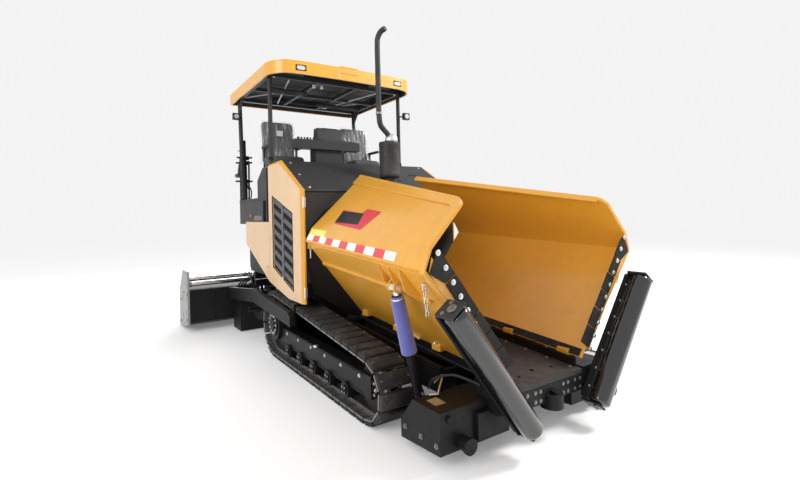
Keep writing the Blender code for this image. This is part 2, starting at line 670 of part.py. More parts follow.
def seat(name, side):
    """Operator's seat on its pedestal, cushion, backrest and two armrests."""
    x, half = side * SEAT_X, SEAT_WIDTH / 2
    y0, z0 = SEAT_FRONT, PLATFORM_Z + SEAT_HEIGHT
    depth = SEAT_DEPTH
    shapes = [block((x - 0.16, y0 + 0.14, PLATFORM_Z + GAP), (x + 0.16, y0 + depth - 0.08, z0 - 0.14))]
    shapes.append(block((x - half, y0, z0 - 0.18), (x + half, y0 + depth, z0)))
    back = [(y0 + depth - 0.12, z0 - 0.04), (y0 + depth + 0.05, z0 - 0.06),
            (y0 + depth + 0.12, z0 + SEAT_BACK), (y0 + depth - 0.02, z0 + SEAT_BACK + 0.03)]
    shapes.append(plate(back, "X", x - half, x + half))
    for s in (-1, 1):
        low, high = sorted((x + s * (half - 0.02), x + s * (half + 0.06)))
        shapes.append(block((low, y0 + 0.08, z0 - 0.08), (high, y0 + depth - 0.06, z0 + 0.18)))
    return assembly(name, shapes, SEAT)


def exhaust():
    """Upright silencer with the offset tail pipe bent forward at its top."""
    x, y = 0.20, -0.10
    route = [(x, y, 2.70), (x, y, 2.78), (x - 0.10, y - 0.01, 2.88), (x - 0.155, y - 0.02, 3.02),
             (x - 0.16, y - 0.02, 3.20), (x - 0.16, y - 0.02, 3.98), (x - 0.135, y - 0.06, 4.10),
             (x - 0.11, y - 0.14, 4.14)]
    curve = bpy.data.curves.new("tail_pipe", "CURVE")
    curve.dimensions = "3D"
    curve.bevel_depth = 0.035
    curve.bevel_resolution = 2
    curve.use_fill_caps = True
    spline = curve.splines.new("POLY")
    spline.points.add(len(route) - 1)
    for point, place in zip(spline.points, route):
        point.co = (*place, 1)
    wire = bpy.data.objects.new("tail_pipe", curve)
    CUTTERS.objects.link(wire)
    wire.parent = ORIGIN
    bpy.context.view_layer.update()
    graph = bpy.context.evaluated_depsgraph_get()
    mesh = bpy.data.meshes.new_from_object(wire.evaluated_get(graph))
    bm = bmesh.new()
    bm.from_mesh(mesh)
    bmesh.ops.remove_doubles(bm, verts=bm.verts[:], dist=0.0001)
    bpy.data.meshes.remove(mesh)
    bpy.data.objects.remove(wire, do_unlink=True)
    foot = HOOD_NOSE_Z + 0.15
    body = rod_between((x, y, foot), (x, y, 2.72), 0.135, 28)
    lower = rod_between((x, y, HOOD_NOSE_Z + 0.06), (x, y, foot + 0.05), 0.06, 20)
    slope = (HOOD_TOP - HOOD_NOSE_Z) / (HOOD_APEX - BAY_FRONT - 0.012)
    y0 = BAY_FRONT + 0.012
    cut = plate([(y0 - 0.3, HOOD_NOSE_Z - 0.3 * slope + GAP), (HOOD_APEX, HOOD_TOP + GAP), (HOOD_APEX, 1.9),
                 (y0 - 0.3, 1.7)], "X", x - 0.5, x + 0.5)
    return assembly("exhaust", [body, bm, lower], GREY, [cut])


# ---------------------------------------------------------------- canopy
def canopy_roof():
    """Roof shell open below: cut front corners, a slightly bowed front and a deep rim."""
    w, rear = CANOPY_HALF_WIDTH, CANOPY_REAR
    nose, corner, half = CANOPY_NOSE, CANOPY_FRONT, CANOPY_NOSE_HALF

    def outline(inset):
        side = [(half * 0.5, nose + inset), (half - inset * 0.5, nose + 0.025 + inset),
                (half + 0.12 - inset * 0.8, nose + 0.09 + inset), (w - inset, corner + inset * 0.5),
                (w - inset, rear - inset)]
        return [(-x, y) for x, y in reversed(side)] + side

    top = CANOPY_Z + CANOPY_RIM
    return assembly("canopy_roof", [plate(outline(0), "Z", CANOPY_Z, top)], YELLOW,
                    [plate(outline(CANOPY_WALL), "Z", CANOPY_Z - 0.05, top - CANOPY_WALL)])


def canopy_frame():
    """Four posts and the roof's carrying frame."""
    z, tube = CANOPY_Z + 0.03, 0.048
    shapes = []
    xs, y_front, y_rear = 1.03, POST_Y, CANOPY_REAR - 0.25
    for y in (y_front, y_rear, 1.72):
        shapes.append(block((-xs - 0.01, y - 0.02, z), (xs + 0.01, y + 0.02, z + tube + 0.002)))
    for x in (-xs, -0.3, 0.3, xs):
        shapes.append(block((x - tube / 2, y_front + 0.005, z + 0.002),
                            (x + tube / 2, y_rear + 0.015, z + tube)))
    for side in SIDES.values():
        x = side * xs
        shapes.append(rod_between((x, y_front, PLATFORM_Z + GAP), (x, y_front, z + 0.03), 0.029, 14))
        shapes.append(rod_between((x, y_rear - 0.12, PLATFORM_Z + 0.006), (x, y_rear, z + 0.03), 0.032, 14))
        shapes.append(block((x - 0.045, y_rear - 0.17, PLATFORM_Z + GAP),
                            (x + 0.045, y_rear - 0.07, PLATFORM_Z + 0.02)))
        gusset = [(y_rear - 0.26, z + 0.02), (y_rear + 0.01, z + 0.02), (y_rear, z - 0.22),
                  (y_rear - 0.03, z - 0.22)]
        shapes.append(plate(gusset, "X", x - 0.006, x + 0.006))
    for y in (y_front + 0.05, y_rear - 0.05):
        shapes.append(block((-0.5, y - 0.05, z + tube - 0.008),
                            (0.5, y + 0.05, CANOPY_Z + CANOPY_RIM - CANOPY_WALL - GAP)))
    return assembly("canopy_frame", shapes, GREY)


# ---------------------------------------------------------------- augers and screed
def helix_flight(x0, x1, y, z, radius, turns, handed):
    """A screw flight: a small rectangle swept round and along the shaft."""
    bm = bmesh.new()
    thick = 0.014
    corners = [(x0, 0.03), (x0 + thick, 0.03), (x0 + thick, radius), (x0, radius)]
    verts = [bm.verts.new((x, y, z + r)) for x, r in corners]
    face = bm.faces.new(verts)
    steps = int(14 * turns)
    travel = (x1 - x0 - thick) / steps
    bmesh.ops.spin(bm, geom=[face], cent=(0, y, z), axis=(1, 0, 0), dvec=(travel, 0, 0),
                   angle=handed * 2 * math.pi * turns, steps=steps, use_duplicate=False)
    bmesh.ops.recalc_face_normals(bm, faces=bm.faces[:])
    return bm


def auger(name, side):
    """Half of the spreading auger: shaft with its screw flight."""
    y, z, radius = 1.86, 0.40, 0.18
    shaft = rod_between((side * (0.085 + GAP), y, z), (side * 1.10, y, z), 0.04, 16)
    low, high = (0.13, 1.08) if side > 0 else (-1.08, -0.13)
    obj = assembly(name, [shaft, helix_flight(low, high, y, z, radius, 3.5, side)], BLACK)
    return with_origin(obj, (side * 0.6, y, z))


def auger_carrier():
    """Chain case and cross tube that hang the augers behind the tunnel."""
    y, z = 1.86, 0.40
    shapes = [block((-0.085, y - 0.13, z - 0.13), (0.085, y + 0.13, 0.83))]
    shapes.append(block((-1.0, y - 0.04, 0.74), (1.0, y + 0.04, 0.84)))
    for side in SIDES.values():
        x = side * 0.58
        shapes.append(block((x - 0.04, CHASSIS_REAR + GAP, 0.745), (x + 0.04, y, 0.835)))
    return assembly("auger_carrier", shapes, BLACK)


def tow_arm(name, side):
    """Long side arm from the tow point to the screed."""
    low, high = sorted((side * (TOW_X - 0.03), side * (TOW_X + 0.03)))
    arm_end = SCREED_FRONT + TOW_ARM_SEAT - GAP
    profile = [(TOW_Y - 0.07, TOW_Z - 0.07), (1.2, 0.62), (arm_end, 0.50), (arm_end, 0.68),
               (1.2, 0.80), (TOW_Y, TOW_Z + 0.08), (TOW_Y - 0.07, TOW_Z + 0.04)]
    obj = assembly(name, [plate(profile, "X", low, high)], BLACK)
    return with_origin(obj, (side * TOW_X, TOW_Y, TOW_Z))


def tow_cylinder(name, side):
    """Upright levelling cylinder under the deck with the bracket that holds the tow point."""
    x, y = side * 0.99, TOW_Y
    face = TOW_X - 0.03 - GAP
    shapes = [rod_between((x, y, 0.80), (x, y, DECK_Z - GAP), 0.045, 16)]
    shapes.append(rod_between((x, y, 0.775), (x, y, 0.85), 0.034, 16))
    low, high = sorted((x - side * 0.05, side * (face - 0.001)))
    shapes.append(block((low, y - 0.045, 0.772), (high, y + 0.045, 0.789)))
    low, high = sorted((side * (face - 0.014), side * face))
    shapes.append(block((low, y - 0.05, 0.575), (high, y + 0.05, 0.788)))
    return assembly(name, shapes, BLACK)


def guide_tubes(side):
    """(y, z, radius) of the two tubes that carry one extension."""
    if side < 0:
        return [(2.74, 0.745, 0.036), (2.93, 0.800, 0.036)]
    return [(2.76, 0.860, 0.036), (2.95, 0.890, 0.036)]


def screed():
    """Main screed body with its tube housings, arm brackets and rear walkway."""
    y0, y1 = SCREED_FRONT, SCREED_FRONT + SCREED_DEPTH
    w = SCREED_HALF_WIDTH
    body = [(y0, 0.012), (y1, 0.002), (y1, 0.50), (y1 - 0.12, 0.60), (y0, 0.60)]
    shapes = [plate(body, "X", -w + 0.06, w - 0.06)]
    housing = [(y0 + 0.05, 0.5), (y1 - 0.02, 0.48), (y1 - 0.02, 0.69), (3.06, 0.69), (3.06, 0.94),
               (y0 + 0.45, 0.94), (y0 + 0.05, 0.64)]
    seat_y = y0 + TOW_ARM_SEAT
    bracket_x = min(w - 0.07, TOW_X - 0.065)
    for side in SIDES.values():
        shapes.append(plate([(seat_y, 0.49), (y1 - 0.02, 0.45), (y1 - 0.02, 0.66), (seat_y, 0.68)],
                            "X", *sorted((side * bracket_x, side * (TOW_X + 0.03)))))
        shapes.append(plate(housing, "X", *sorted((side * 0.55, side * 0.64))))
        shapes.append(plate(housing, "X", *sorted((side * 0.05, side * 0.13))))
        pin = lift_points(side)[1]
        for x in (pin.x - 0.03 - GAP - 0.02, pin.x + 0.03 + GAP):
            lug = [(pin.y - 0.06, 0.59), (pin.y + 0.06, 0.59), (pin.y + 0.04, pin.z + 0.03),
                   (pin.y - 0.04, pin.z + 0.03)]
            shapes.append(plate(lug, "X", x, x + 0.02))
        hanger = [(3.04, 0.69), (3.44, 0.69), (3.44, 0.30), (3.48, 0.295), (3.50, 0.31), (3.50, 0.74),
                  (3.04, 0.74)]
        shapes.append(plate(hanger, "X", *sorted((side * 0.56, side * 0.60))))
    cuts = []
    for side in SIDES.values():
        notch = sorted((side * (TOW_X - 0.03 - RUN / 2), side * (TOW_X + 0.03 + RUN / 2)))
        cuts.append(block((notch[0], y0 - 0.1, 0.48), (notch[1], seat_y - GAP / 2, 0.9)))
        for y, z, r in guide_tubes(side):
            cuts.append(rod_between((-0.80, y, z), (0.80, y, z), r + BEARING, 24))
    shapes.append(block((-0.62, 3.045, 0.70), (0.62, 3.075, 0.735)))
    shapes.append(block((-1.15, 3.43, 0.30), (1.15, 3.75, 0.33)))
    return assembly("screed_body", shapes, BLACK, cuts)


def extension(name, side):
    """Sliding screed extension with its tubes, end gate and sole."""
    x0, x1 = 0.72, SCREED_HALF_WIDTH + EXTENSION_OUT
    y0 = SCREED_FRONT + SCREED_DEPTH + 0.02
    body = [(y0, 0.15), (3.2, 0.004), (3.36, 0.004), (3.36, 0.50), (3.20, 0.66), (y0, 0.66)]
    shapes = [plate(body, "X", *sorted((side * x0, side * x1)))]
    gate = [(y0 - 0.02, 0.12), (3.2, 0.006), (3.40, 0.006), (3.40, 0.6), (3.05, 0.95), (y0 + 0.02, 0.95),
            (y0 - 0.02, 0.85)]
    shapes.append(plate(gate, "X", *sorted((side * (x1 - 0.01), side * (x1 + 0.03)))))
    for y, z, r in guide_tubes(side):
        shapes.append(rod_between((side * (EXTENSION_OUT - 0.70), y, z), (side * x1, y, z), r, 24))
    obj = assembly(name, shapes, BLACK)
    return with_origin(obj, (side * x1, y0, 0.3))


def lift_points(side):
    return Vector((side * 0.80, 2.02, 1.60)), Vector((side * 0.80, 2.33, 0.70))


def lift_cylinder(side, label):
    """Cylinder that raises the screed: barrel on the tank housing, rod on the screed."""
    top, foot = lift_points(side)
    along = (foot - top).normalized()
    barrel = rod_between(top + along * 0.09, top + along * LIFT_BARREL_END, 0.040, 16)
    neck = rod_between(top, top + along * 0.12, 0.027, 16)
    eye = rod_between(top + Vector((-0.03, 0, 0)), top + Vector((0.03, 0, 0)), 0.045, 16)
    bore = rod_between(top + along * 0.14, top + along * (LIFT_BARREL_END + 0.1),
                       LIFT_ROD_RADIUS + BEARING, 16)
    obj = assembly("lift_cylinder_barrel_" + label, [barrel, neck, eye], BLACK, [bore])
    with_origin(obj, top)
    rod = rod_between(top + along * LIFT_ROD_START, foot - along * 0.02, LIFT_ROD_RADIUS, 16)
    head = rod_between(foot + Vector((-0.03, 0, 0)), foot + Vector((0.03, 0, 0)), 0.04, 16)
    obj = assembly("lift_cylinder_rod_" + label, [rod, head], STEEL)
    with_origin(obj, foot)


def toolbox(name, side):
    """Grey locker under the platform's rear corner with the cover strip ahead of it."""
    outer = side * BODY_HALF_WIDTH
    strip = sorted((outer, side * (BODY_HALF_WIDTH - PANEL)))
    locker = sorted((outer, side * 0.88))
    top = PLATFORM_Z - 0.05 - GAP
    shapes = [block((strip[0], 1.05, 1.712 + GAP), (strip[1], 1.95, top))]
    shapes.append(block((locker[0], BAY_REAR + 0.002, 1.68), (locker[1], 2.22, top - 0.001)))
    return assembly(name, shapes, GREY)


for label, sign in SIDES.items():
    track("track_" + label, sign)
    track_frame("track_frame_" + label, sign)
    wing("wing_" + label, sign)
    flap("wing_flap_" + label, sign)
    wing_cylinder(sign, label)
    push_roller_group(sign, label)
    door("louvre_door_" + label, sign)
    side_panel("side_panel_" + label, sign)
    seat("seat_" + label, sign)
    auger("auger_" + label, sign)
    tow_arm("tow_arm_" + label, sign)
    tow_cylinder("tow_cylinder_" + label, sign)
    extension("screed_extension_" + label, sign)
    lift_cylinder(sign, label)
    toolbox("toolbox_" + label, sign)
chassis_frame()
hopper_floor()
push_beam()
hopper_rear_wall()
engine_block()
hood()
tank_housing()
platform()
console()
exhaust()
canopy_roof()
canopy_frame()
auger_carrier()
screed()
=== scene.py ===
"""Tracked asphalt paver: the looks of every visible piece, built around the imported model."""
import json
import math
import random

import bmesh
import bpy
from mathutils import Matrix, Vector


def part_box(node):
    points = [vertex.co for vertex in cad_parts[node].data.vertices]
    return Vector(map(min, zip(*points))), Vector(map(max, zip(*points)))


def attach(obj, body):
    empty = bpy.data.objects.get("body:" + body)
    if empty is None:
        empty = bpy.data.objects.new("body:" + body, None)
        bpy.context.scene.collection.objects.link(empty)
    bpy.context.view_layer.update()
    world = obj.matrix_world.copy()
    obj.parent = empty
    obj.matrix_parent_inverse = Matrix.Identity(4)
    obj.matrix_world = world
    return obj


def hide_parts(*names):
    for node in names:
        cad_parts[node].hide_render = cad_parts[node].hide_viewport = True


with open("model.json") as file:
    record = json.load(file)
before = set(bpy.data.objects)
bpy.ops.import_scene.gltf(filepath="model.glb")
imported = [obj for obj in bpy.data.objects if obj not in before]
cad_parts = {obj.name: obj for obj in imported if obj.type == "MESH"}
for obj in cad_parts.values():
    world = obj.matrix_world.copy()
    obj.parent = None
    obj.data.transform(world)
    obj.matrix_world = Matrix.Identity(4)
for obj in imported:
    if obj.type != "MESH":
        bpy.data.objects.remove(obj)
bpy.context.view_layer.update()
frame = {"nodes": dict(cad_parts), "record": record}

# ------------------------------------------------------------------ camera
# Stands ahead of the machine's right-hand front corner at a person's height and looks almost
# level across the hopper towards the rear left.
camera_data = bpy.data.cameras.new("camera")
camera_data.lens = 20.54
camera_data.sensor_width = 36
camera_data.shift_x = 0.0044
camera_data.shift_y = -0.0354
camera_data.clip_end = 100
camera = bpy.data.objects.new("camera", camera_data)
bpy.context.scene.collection.objects.link(camera)
heading = Matrix.Rotation(math.radians(-33.48), 4, "Z")
tilt = Matrix.Rotation(math.radians(90.34), 4, "X")
roll = Matrix.Rotation(math.radians(-1.30), 4, "Z")
camera.matrix_world = Matrix.Translation((-3.0105, -5.4915, 1.7741)) @ heading @ tilt @ roll
bpy.context.scene.camera = camera

# ------------------------------------------------------------------ studio
# An even white surround, one broad soft lamp high on the machine's left, and weaker ones on its
# right and behind it. The pale floor is made at the end.
bpy.context.scene.view_settings.view_transform = "Standard"
world = bpy.data.worlds.new("studio")
bpy.context.scene.world = world
world.use_nodes = True
world.node_tree.nodes["Background"].inputs["Color"].default_value = (1.0, 1.0, 1.0, 1)
world.node_tree.nodes["Background"].inputs["Strength"].default_value = 0.90


def soft_lamp(name, place, target, width, power, tint=(1, 1, 1)):
    data = bpy.data.lights.new(name, "AREA")
    data.size = width
    data.energy = power
    data.color = tint
    lamp = bpy.data.objects.new(name, data)
    bpy.context.scene.collection.objects.link(lamp)
    lamp.location = place
    lamp.rotation_euler = (Vector(target) - Vector(place)).to_track_quat("-Z", "Y").to_euler()
    return lamp


soft_lamp("key_lamp", (7.5, -5.5, 9.0), (0, 0, 1.2), 3.0, 1450, (1.0, 0.98, 0.94))
soft_lamp("side_lamp", (-9.0, -3.0, 5.0), (0, 0, 1.5), 5.0, 420)
soft_lamp("rear_lamp", (1.0, 10.0, 6.0), (0, 1.5, 1.5), 4.0, 320)


# ------------------------------------------------------------------ hopper wings
# Each wing is one steel plate, folded twice and welded up with a box flange along its top and
# front edges, gussets and lugs for its cylinder. It is sprayed in warm yellow gloss paint.
class Value:
    """A shader socket: an expression on it adds the Math nodes that work it out."""

    def __init__(self, tree, socket):
        self.tree, self.socket = tree, socket

    def maths(self, operation, a, b=0.0):
        node = self.tree.nodes.new("ShaderNodeMath")
        node.operation = operation
        for plug, value in zip(node.inputs, (a, b)):
            if isinstance(value, Value):
                self.tree.links.new(value.socket, plug)
            else:
                plug.default_value = value
        return Value(self.tree, node.outputs[0])

    def __add__(self, other):
        return self.maths("ADD", self, other)

    def __radd__(self, other):
        return self.maths("ADD", other, self)

    def __sub__(self, other):
        return self.maths("SUBTRACT", self, other)

    def __rsub__(self, other):
        return self.maths("SUBTRACT", other, self)

    def __mul__(self, other):
        return self.maths("MULTIPLY", self, other)

    def __rmul__(self, other):
        return self.maths("MULTIPLY", other, self)

    def over(self, level, width):
        """0 below level, 1 above level + width, with a straight ramp between."""
        share = (self - level) * (1 / width)
        return self.maths("MINIMUM", self.maths("MAXIMUM", share, 0.0), 1.0)


class Finish:
    """One surface finish: a Principled shader and the patterns that vary it."""

    def __init__(self, name, colour, roughness, metallic=0.0, **constants):
        self.material = bpy.data.materials.new(name)
        self.material.use_nodes = True
        self.tree = self.material.node_tree
        self.shader = self.tree.nodes["Principled BSDF"]
        self.colour = (*colour, 1)
        self.shader.inputs["Base Color"].default_value = self.colour
        self.shader.inputs["Roughness"].default_value = roughness
        self.shader.inputs["Metallic"].default_value = metallic
        for socket, value in constants.items():
            self.shader.inputs[socket.replace("_", " ")].default_value = value
        self.material.diffuse_color = self.colour
        self.place = self.node("TexCoord", output="Object")

    def node(self, kind, settings=None, inputs=None, output=0):
        """Any node: its settings first, then the values or links of its sockets."""
        node = self.tree.nodes.new("ShaderNode" + kind)
        for key, value in (settings or {}).items():
            if key == "stops":
                for stop in node.color_ramp.elements[1:]:
                    node.color_ramp.elements.remove(stop)
                node.color_ramp.elements[0].position = value[0][0]
                node.color_ramp.elements[0].color = value[0][1]
                for position, colour in value[1:]:
                    node.color_ramp.elements.new(position).color = colour
            else:
                setattr(node, key, value)
        for key, value in (inputs or {}).items():
            self.plug(node.inputs[key], value)
        return Value(self.tree, node.outputs[output])

    def plug(self, socket, value):
        if isinstance(value, Value):
            self.tree.links.new(value.socket, socket)
        else:
            socket.default_value = value

    def stretched(self, x, y, z):
        return self.node("Mapping", None, {"Vector": self.place, "Scale": (x, y, z)})

    def noise(self, scale, detail=3.0, rough=0.5, place=None):
        return self.node("TexNoise", None, {"Vector": place or self.place, "Scale": scale,
                                            "Detail": detail, "Roughness": rough}, "Fac")

    def height(self):
        """How high a point lies, in metres."""
        return self.node("SeparateXYZ", None, {0: self.place}, "Z")

    def blend_colour(self, share, a, b):
        return self.node("Mix", {"data_type": "RGBA"}, {0: share, 6: a, 7: b}, 2)

    def colour_from(self, value):
        self.plug(self.shader.inputs["Base Color"], value)

    def set_roughness(self, value):
        self.plug(self.shader.inputs["Roughness"], value)

    def bumps(self, height, distance, strength=1.0, under=None):
        inputs = {"Height": height, "Distance": distance, "Strength": strength}
        if under:
            inputs["Normal"] = under
        bump = self.node("Bump", None, inputs, "Normal")
        self.plug(self.shader.inputs["Normal"], bump)
        return bump


def shade(colour, by):
    return (*[min(c * by, 1.0) for c in colour], 1)


DUST = (0.34, 0.30, 0.25)


def paint(name, colour, roughness, dust=0.35, dust_top=1.1, coat=0.3, peel=0.00012, gloss=0.5):
    """Sprayed paint: slight tone drift, orange peel, rub marks, and dust that lies low down."""
    finish = Finish(name, colour, roughness, Coat_Weight=coat, Coat_Roughness=0.12, Specular_IOR_Level=gloss)
    drift = finish.noise(1.3, 4, 0.6)
    tone = finish.blend_colour(drift, shade(colour, 0.90), shade(colour, 1.08))
    grime = finish.noise(7.0, 8, 0.65).over(0.50, 0.22) * 0.22
    tone = finish.blend_colour(grime, tone, shade(colour, 0.66))
    low = (dust_top - finish.height()) * (1 / dust_top)
    low = low.over(0.0, 0.9) * finish.noise(16.0, 8, 0.7).over(0.36, 0.35) * dust
    tone = finish.blend_colour(low, tone, (*DUST, 1))
    finish.colour_from(tone)
    rub = finish.noise(9.0, 5, 0.6, finish.stretched(1, 9, 1)).over(0.56, 0.12)
    finish.set_roughness(rub * 0.10 + low * 0.5 + grime * 0.4 + roughness)
    skin = finish.bumps(finish.noise(260.0, 2, 0.5), peel, 0.5)
    finish.bumps(finish.noise(2.2, 2, 0.5), 0.004, 0.16, skin)
    return finish.material


YELLOW = paint("yellow_gloss", (0.66, 0.315, 0.030), 0.30, dust=0.08, dust_top=0.9)
# A darker copy of the yellow paint: painted shade on the doors' folded front edges.
SHADED_YELLOW = paint("yellow_edge_painted_shade", (0.60, 0.28, 0.020), 0.32, dust=0.1, dust_top=1.0)
# A paler copy of the yellow paint: painted light on the flat side faces of the doors and panels.
PALE_LIT_YELLOW = paint("yellow_paint_painted_light", (0.60, 0.40, 0.22), 0.40, dust=0.10, dust_top=1.2)
GREY = paint("dark_grey_satin", (0.022, 0.023, 0.025), 0.48, dust=0.05, dust_top=1.4, coat=0.0,
             peel=0.0002, gloss=0.28)
BLACK = paint("chassis_black", (0.0045, 0.0045, 0.005), 0.45, dust=0.02, dust_top=1.0, coat=0.0,
              peel=0.0003, gloss=0.22)


def steel(name, colour, roughness, grain=0.00006):
    """Plated or turned steel: fine turning marks and a few dull patches."""
    finish = Finish(name, colour, roughness, 1.0)
    patch = finish.noise(24.0, 4, 0.6)
    finish.colour_from(finish.blend_colour(patch, shade(colour, 0.78), shade(colour, 1.1)))
    finish.set_roughness(patch * 0.25 + (roughness - 0.1))
    finish.bumps(finish.noise(700.0, 1, 0.5, finish.stretched(1, 1, 6)), grain, 0.6)
    return finish.material


ZINC = steel("zinc_plated", (0.72, 0.72, 0.71), 0.36)
CHROME = steel("chromed_rod", (0.80, 0.80, 0.79), 0.14, 0.00002)
CAST = steel("raw_steel", (0.28, 0.27, 0.26), 0.45)


def matt(name, colour, roughness, spots=0.4, grain=0.0006, scale=90.0, dusty=0.3):
    """Moulded rubber or plastic: fine grain with dust in its hollows."""
    finish = Finish(name, colour, roughness, Specular_IOR_Level=0.25)
    speckle = finish.noise(scale, 6, 0.7)
    cloud = finish.noise(5.0, 6, 0.65)
    tone = finish.blend_colour(speckle, shade(colour, 1 - spots), shade(colour, 1 + spots))
    dust = cloud.over(0.48, 0.25) * dusty
    finish.colour_from(finish.blend_colour(dust, tone, (*DUST, 1)))
    finish.set_roughness(cloud * 0.2 + (roughness - 0.1))
    finish.bumps(speckle, grain, 0.8)
    return finish.material


RUBBER = matt("black_rubber", (0.011, 0.011, 0.012), 0.72, dusty=0.06)
PLASTIC = matt("black_plastic", (0.018, 0.018, 0.019), 0.5, grain=0.0002, scale=400.0, dusty=0.06)


def piece(name, bm, material, body, bevel=0.0, smooth=35.0, segments=2):
    """A finished piece: outward faces, softened edges, and a body to ride on."""
    bmesh.ops.remove_doubles(bm, verts=bm.verts[:], dist=0.00001)
    bm.normal_update()
    bmesh.ops.recalc_face_normals(bm, faces=bm.faces[:])
    mesh = bpy.data.meshes.new(name)
    bm.to_mesh(mesh)
    bm.free()
    mesh.materials.append(material)
    obj = bpy.data.objects.new(name, mesh)
    bpy.context.scene.collection.objects.link(obj)
    mesh.shade_smooth()
    mesh.set_sharp_from_angle(angle=math.radians(smooth))
    if bevel:
        soft = obj.modifiers.new("soft_edges", "BEVEL")
        soft.width = bevel
        soft.segments = segments
        soft.limit_method = "ANGLE"
        soft.angle_limit = math.radians(30)
        soft.harden_normals = True
    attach(obj, body)
    return obj


def add_box(bm, low, high):
    low, high = Vector(low), Vector(high)
    matrix = Matrix.Translation((low + high) / 2) @ Matrix.Diagonal((*(high - low), 1))
    bmesh.ops.create_cube(bm, size=1, matrix=matrix)


def add_side_box(bm, side, low, high):
    """A box on one side of the machine, its corners given for the left-hand side."""
    inner, outer = sorted((side * low[0], side * high[0]))
    add_box(bm, (inner, *low[1:]), (outer, *high[1:]))


def add_rod(bm, start, end, radius, segments=16):
    """A round bar, its ends left to the piece's bevel."""
    start, end = Vector(start), Vector(end)
    turn = (end - start).to_track_quat("Z", "Y").to_matrix().to_4x4()
    bmesh.ops.create_cone(bm, cap_ends=True, segments=segments, radius1=radius, radius2=radius,
                          depth=(end - start).length, matrix=Matrix.Translation((start + end) / 2) @ turn)


def turned(profile, steps=48):
    """A solid of revolution about Z from (radius, height) points."""
    bm = bmesh.new()
    verts = [bm.verts.new((r, 0, z)) for r, z in profile]
    edges = [bm.edges.new(pair) for pair in zip(verts, verts[1:])]
    bmesh.ops.spin(bm, geom=verts + edges, cent=(0, 0, 0), axis=(0, 0, 1), angle=math.tau, steps=steps,
                   use_merge=True)
    bmesh.ops.remove_doubles(bm, verts=bm.verts[:], dist=0.0001)
    return bm


def merge_into(bm, part):
    """Adds one bmesh to another and frees it."""
    mesh = bpy.data.meshes.new("part")
    part.to_mesh(mesh)
    part.free()
    bm.from_mesh(mesh)
    bpy.data.meshes.remove(mesh)


def add_plate(bm, outline, thickness, place):
    """A flat outline of (a, b) points made a plate; place turns (a, b, depth) into a point."""
    face = bm.faces.new([bm.verts.new((a, b, 0)) for a, b in outline])
    grown = bmesh.ops.extrude_face_region(bm, geom=[face])["geom"]
    moved = [item for item in grown if isinstance(item, bmesh.types.BMVert)]
    bmesh.ops.translate(bm, verts=moved, vec=(0, 0, thickness))
    made = set(face.verts) | set(moved)
    for vert in made:
        vert.co = place(*vert.co)


def add_bolt(bm, at, way, radius, height=None, washer=True):
    """A hexagon bolt head on its washer, standing at a point and facing way."""
    at, way = Vector(at), Vector(way).normalized()
    height = height or radius * 0.7
    seat = radius * 0.25
    if washer:
        add_rod(bm, at - way * 0.0005, at + way * seat, radius * 1.55, 14)
    add_rod(bm, at + way * seat * 0.5, at + way * (seat + height), radius, 6)


def arc(centre, radius, start, end, steps):
    """Points on an arc, angles in degrees."""
    points = []
    for i in range(steps + 1):
        angle = math.radians(start + (end - start) * i / steps)
        points.append((centre[0] + radius * math.cos(angle), centre[1] + radius * math.sin(angle)))
    return points


def smooth_path(points, steps=8):
    """A Catmull-Rom line through the points."""
    points = [Vector(p) for p in points]
    ends = [points[0] * 2 - points[1]] + points + [points[-1] * 2 - points[-2]]
    line = []
    for a, b, c, d in zip(ends, ends[1:], ends[2:], ends[3:]):
        for i in range(steps):
            t = i / steps
            line.append(0.5 * (2 * b + (c - a) * t + (2 * a - 5 * b + 4 * c - d) * t ** 2
                               + (3 * b - a - 3 * c + d) * t ** 3))
    return line + [points[-1]]


def pipe(name, points, radius, material, body, steps=8, sides=2):
    """A bent tube or hose along a smooth line, closed at both ends."""
    curve = bpy.data.curves.new(name, "CURVE")
    curve.dimensions = "3D"
    curve.bevel_depth = radius
    curve.bevel_resolution = sides
    curve.use_fill_caps = True
    line = smooth_path(points, steps) if steps else [Vector(p) for p in points]
    spline = curve.splines.new("POLY")
    spline.points.add(len(line) - 1)
    for point, place in zip(spline.points, line):
        point.co = (*place, 1)
    spline.use_smooth = True
    curve.materials.append(material)
    obj = bpy.data.objects.new(name, curve)
    bpy.context.scene.collection.objects.link(obj)
    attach(obj, body)
    return obj


def cut(obj, cutter):
    """Cuts a bmesh shape out of a piece and keeps the result as the piece's own mesh."""
    cutter.normal_update()
    bmesh.ops.recalc_face_normals(cutter, faces=cutter.faces[:])
    mesh = bpy.data.meshes.new("cutter")
    cutter.to_mesh(mesh)
    cutter.free()
    tool = bpy.data.objects.new("cutter", mesh)
    bpy.context.scene.collection.objects.link(tool)
    step = obj.modifiers.new("cut", "BOOLEAN")
    step.operation = "DIFFERENCE"
    step.object = tool
    while obj.modifiers[0] != step:
        obj.modifiers.move(len(obj.modifiers) - 1, 0)
    others = [m for m in obj.modifiers if m != step]
    for other in others:
        other.show_viewport = False
    bpy.context.view_layer.update()
    graph = bpy.context.evaluated_depsgraph_get()
    result = bpy.data.meshes.new_from_object(obj.evaluated_get(graph))
    obj.modifiers.remove(step)
    for other in others:
        other.show_viewport = True
    obj.data = result
    bpy.data.objects.remove(tool, do_unlink=True)
    return obj


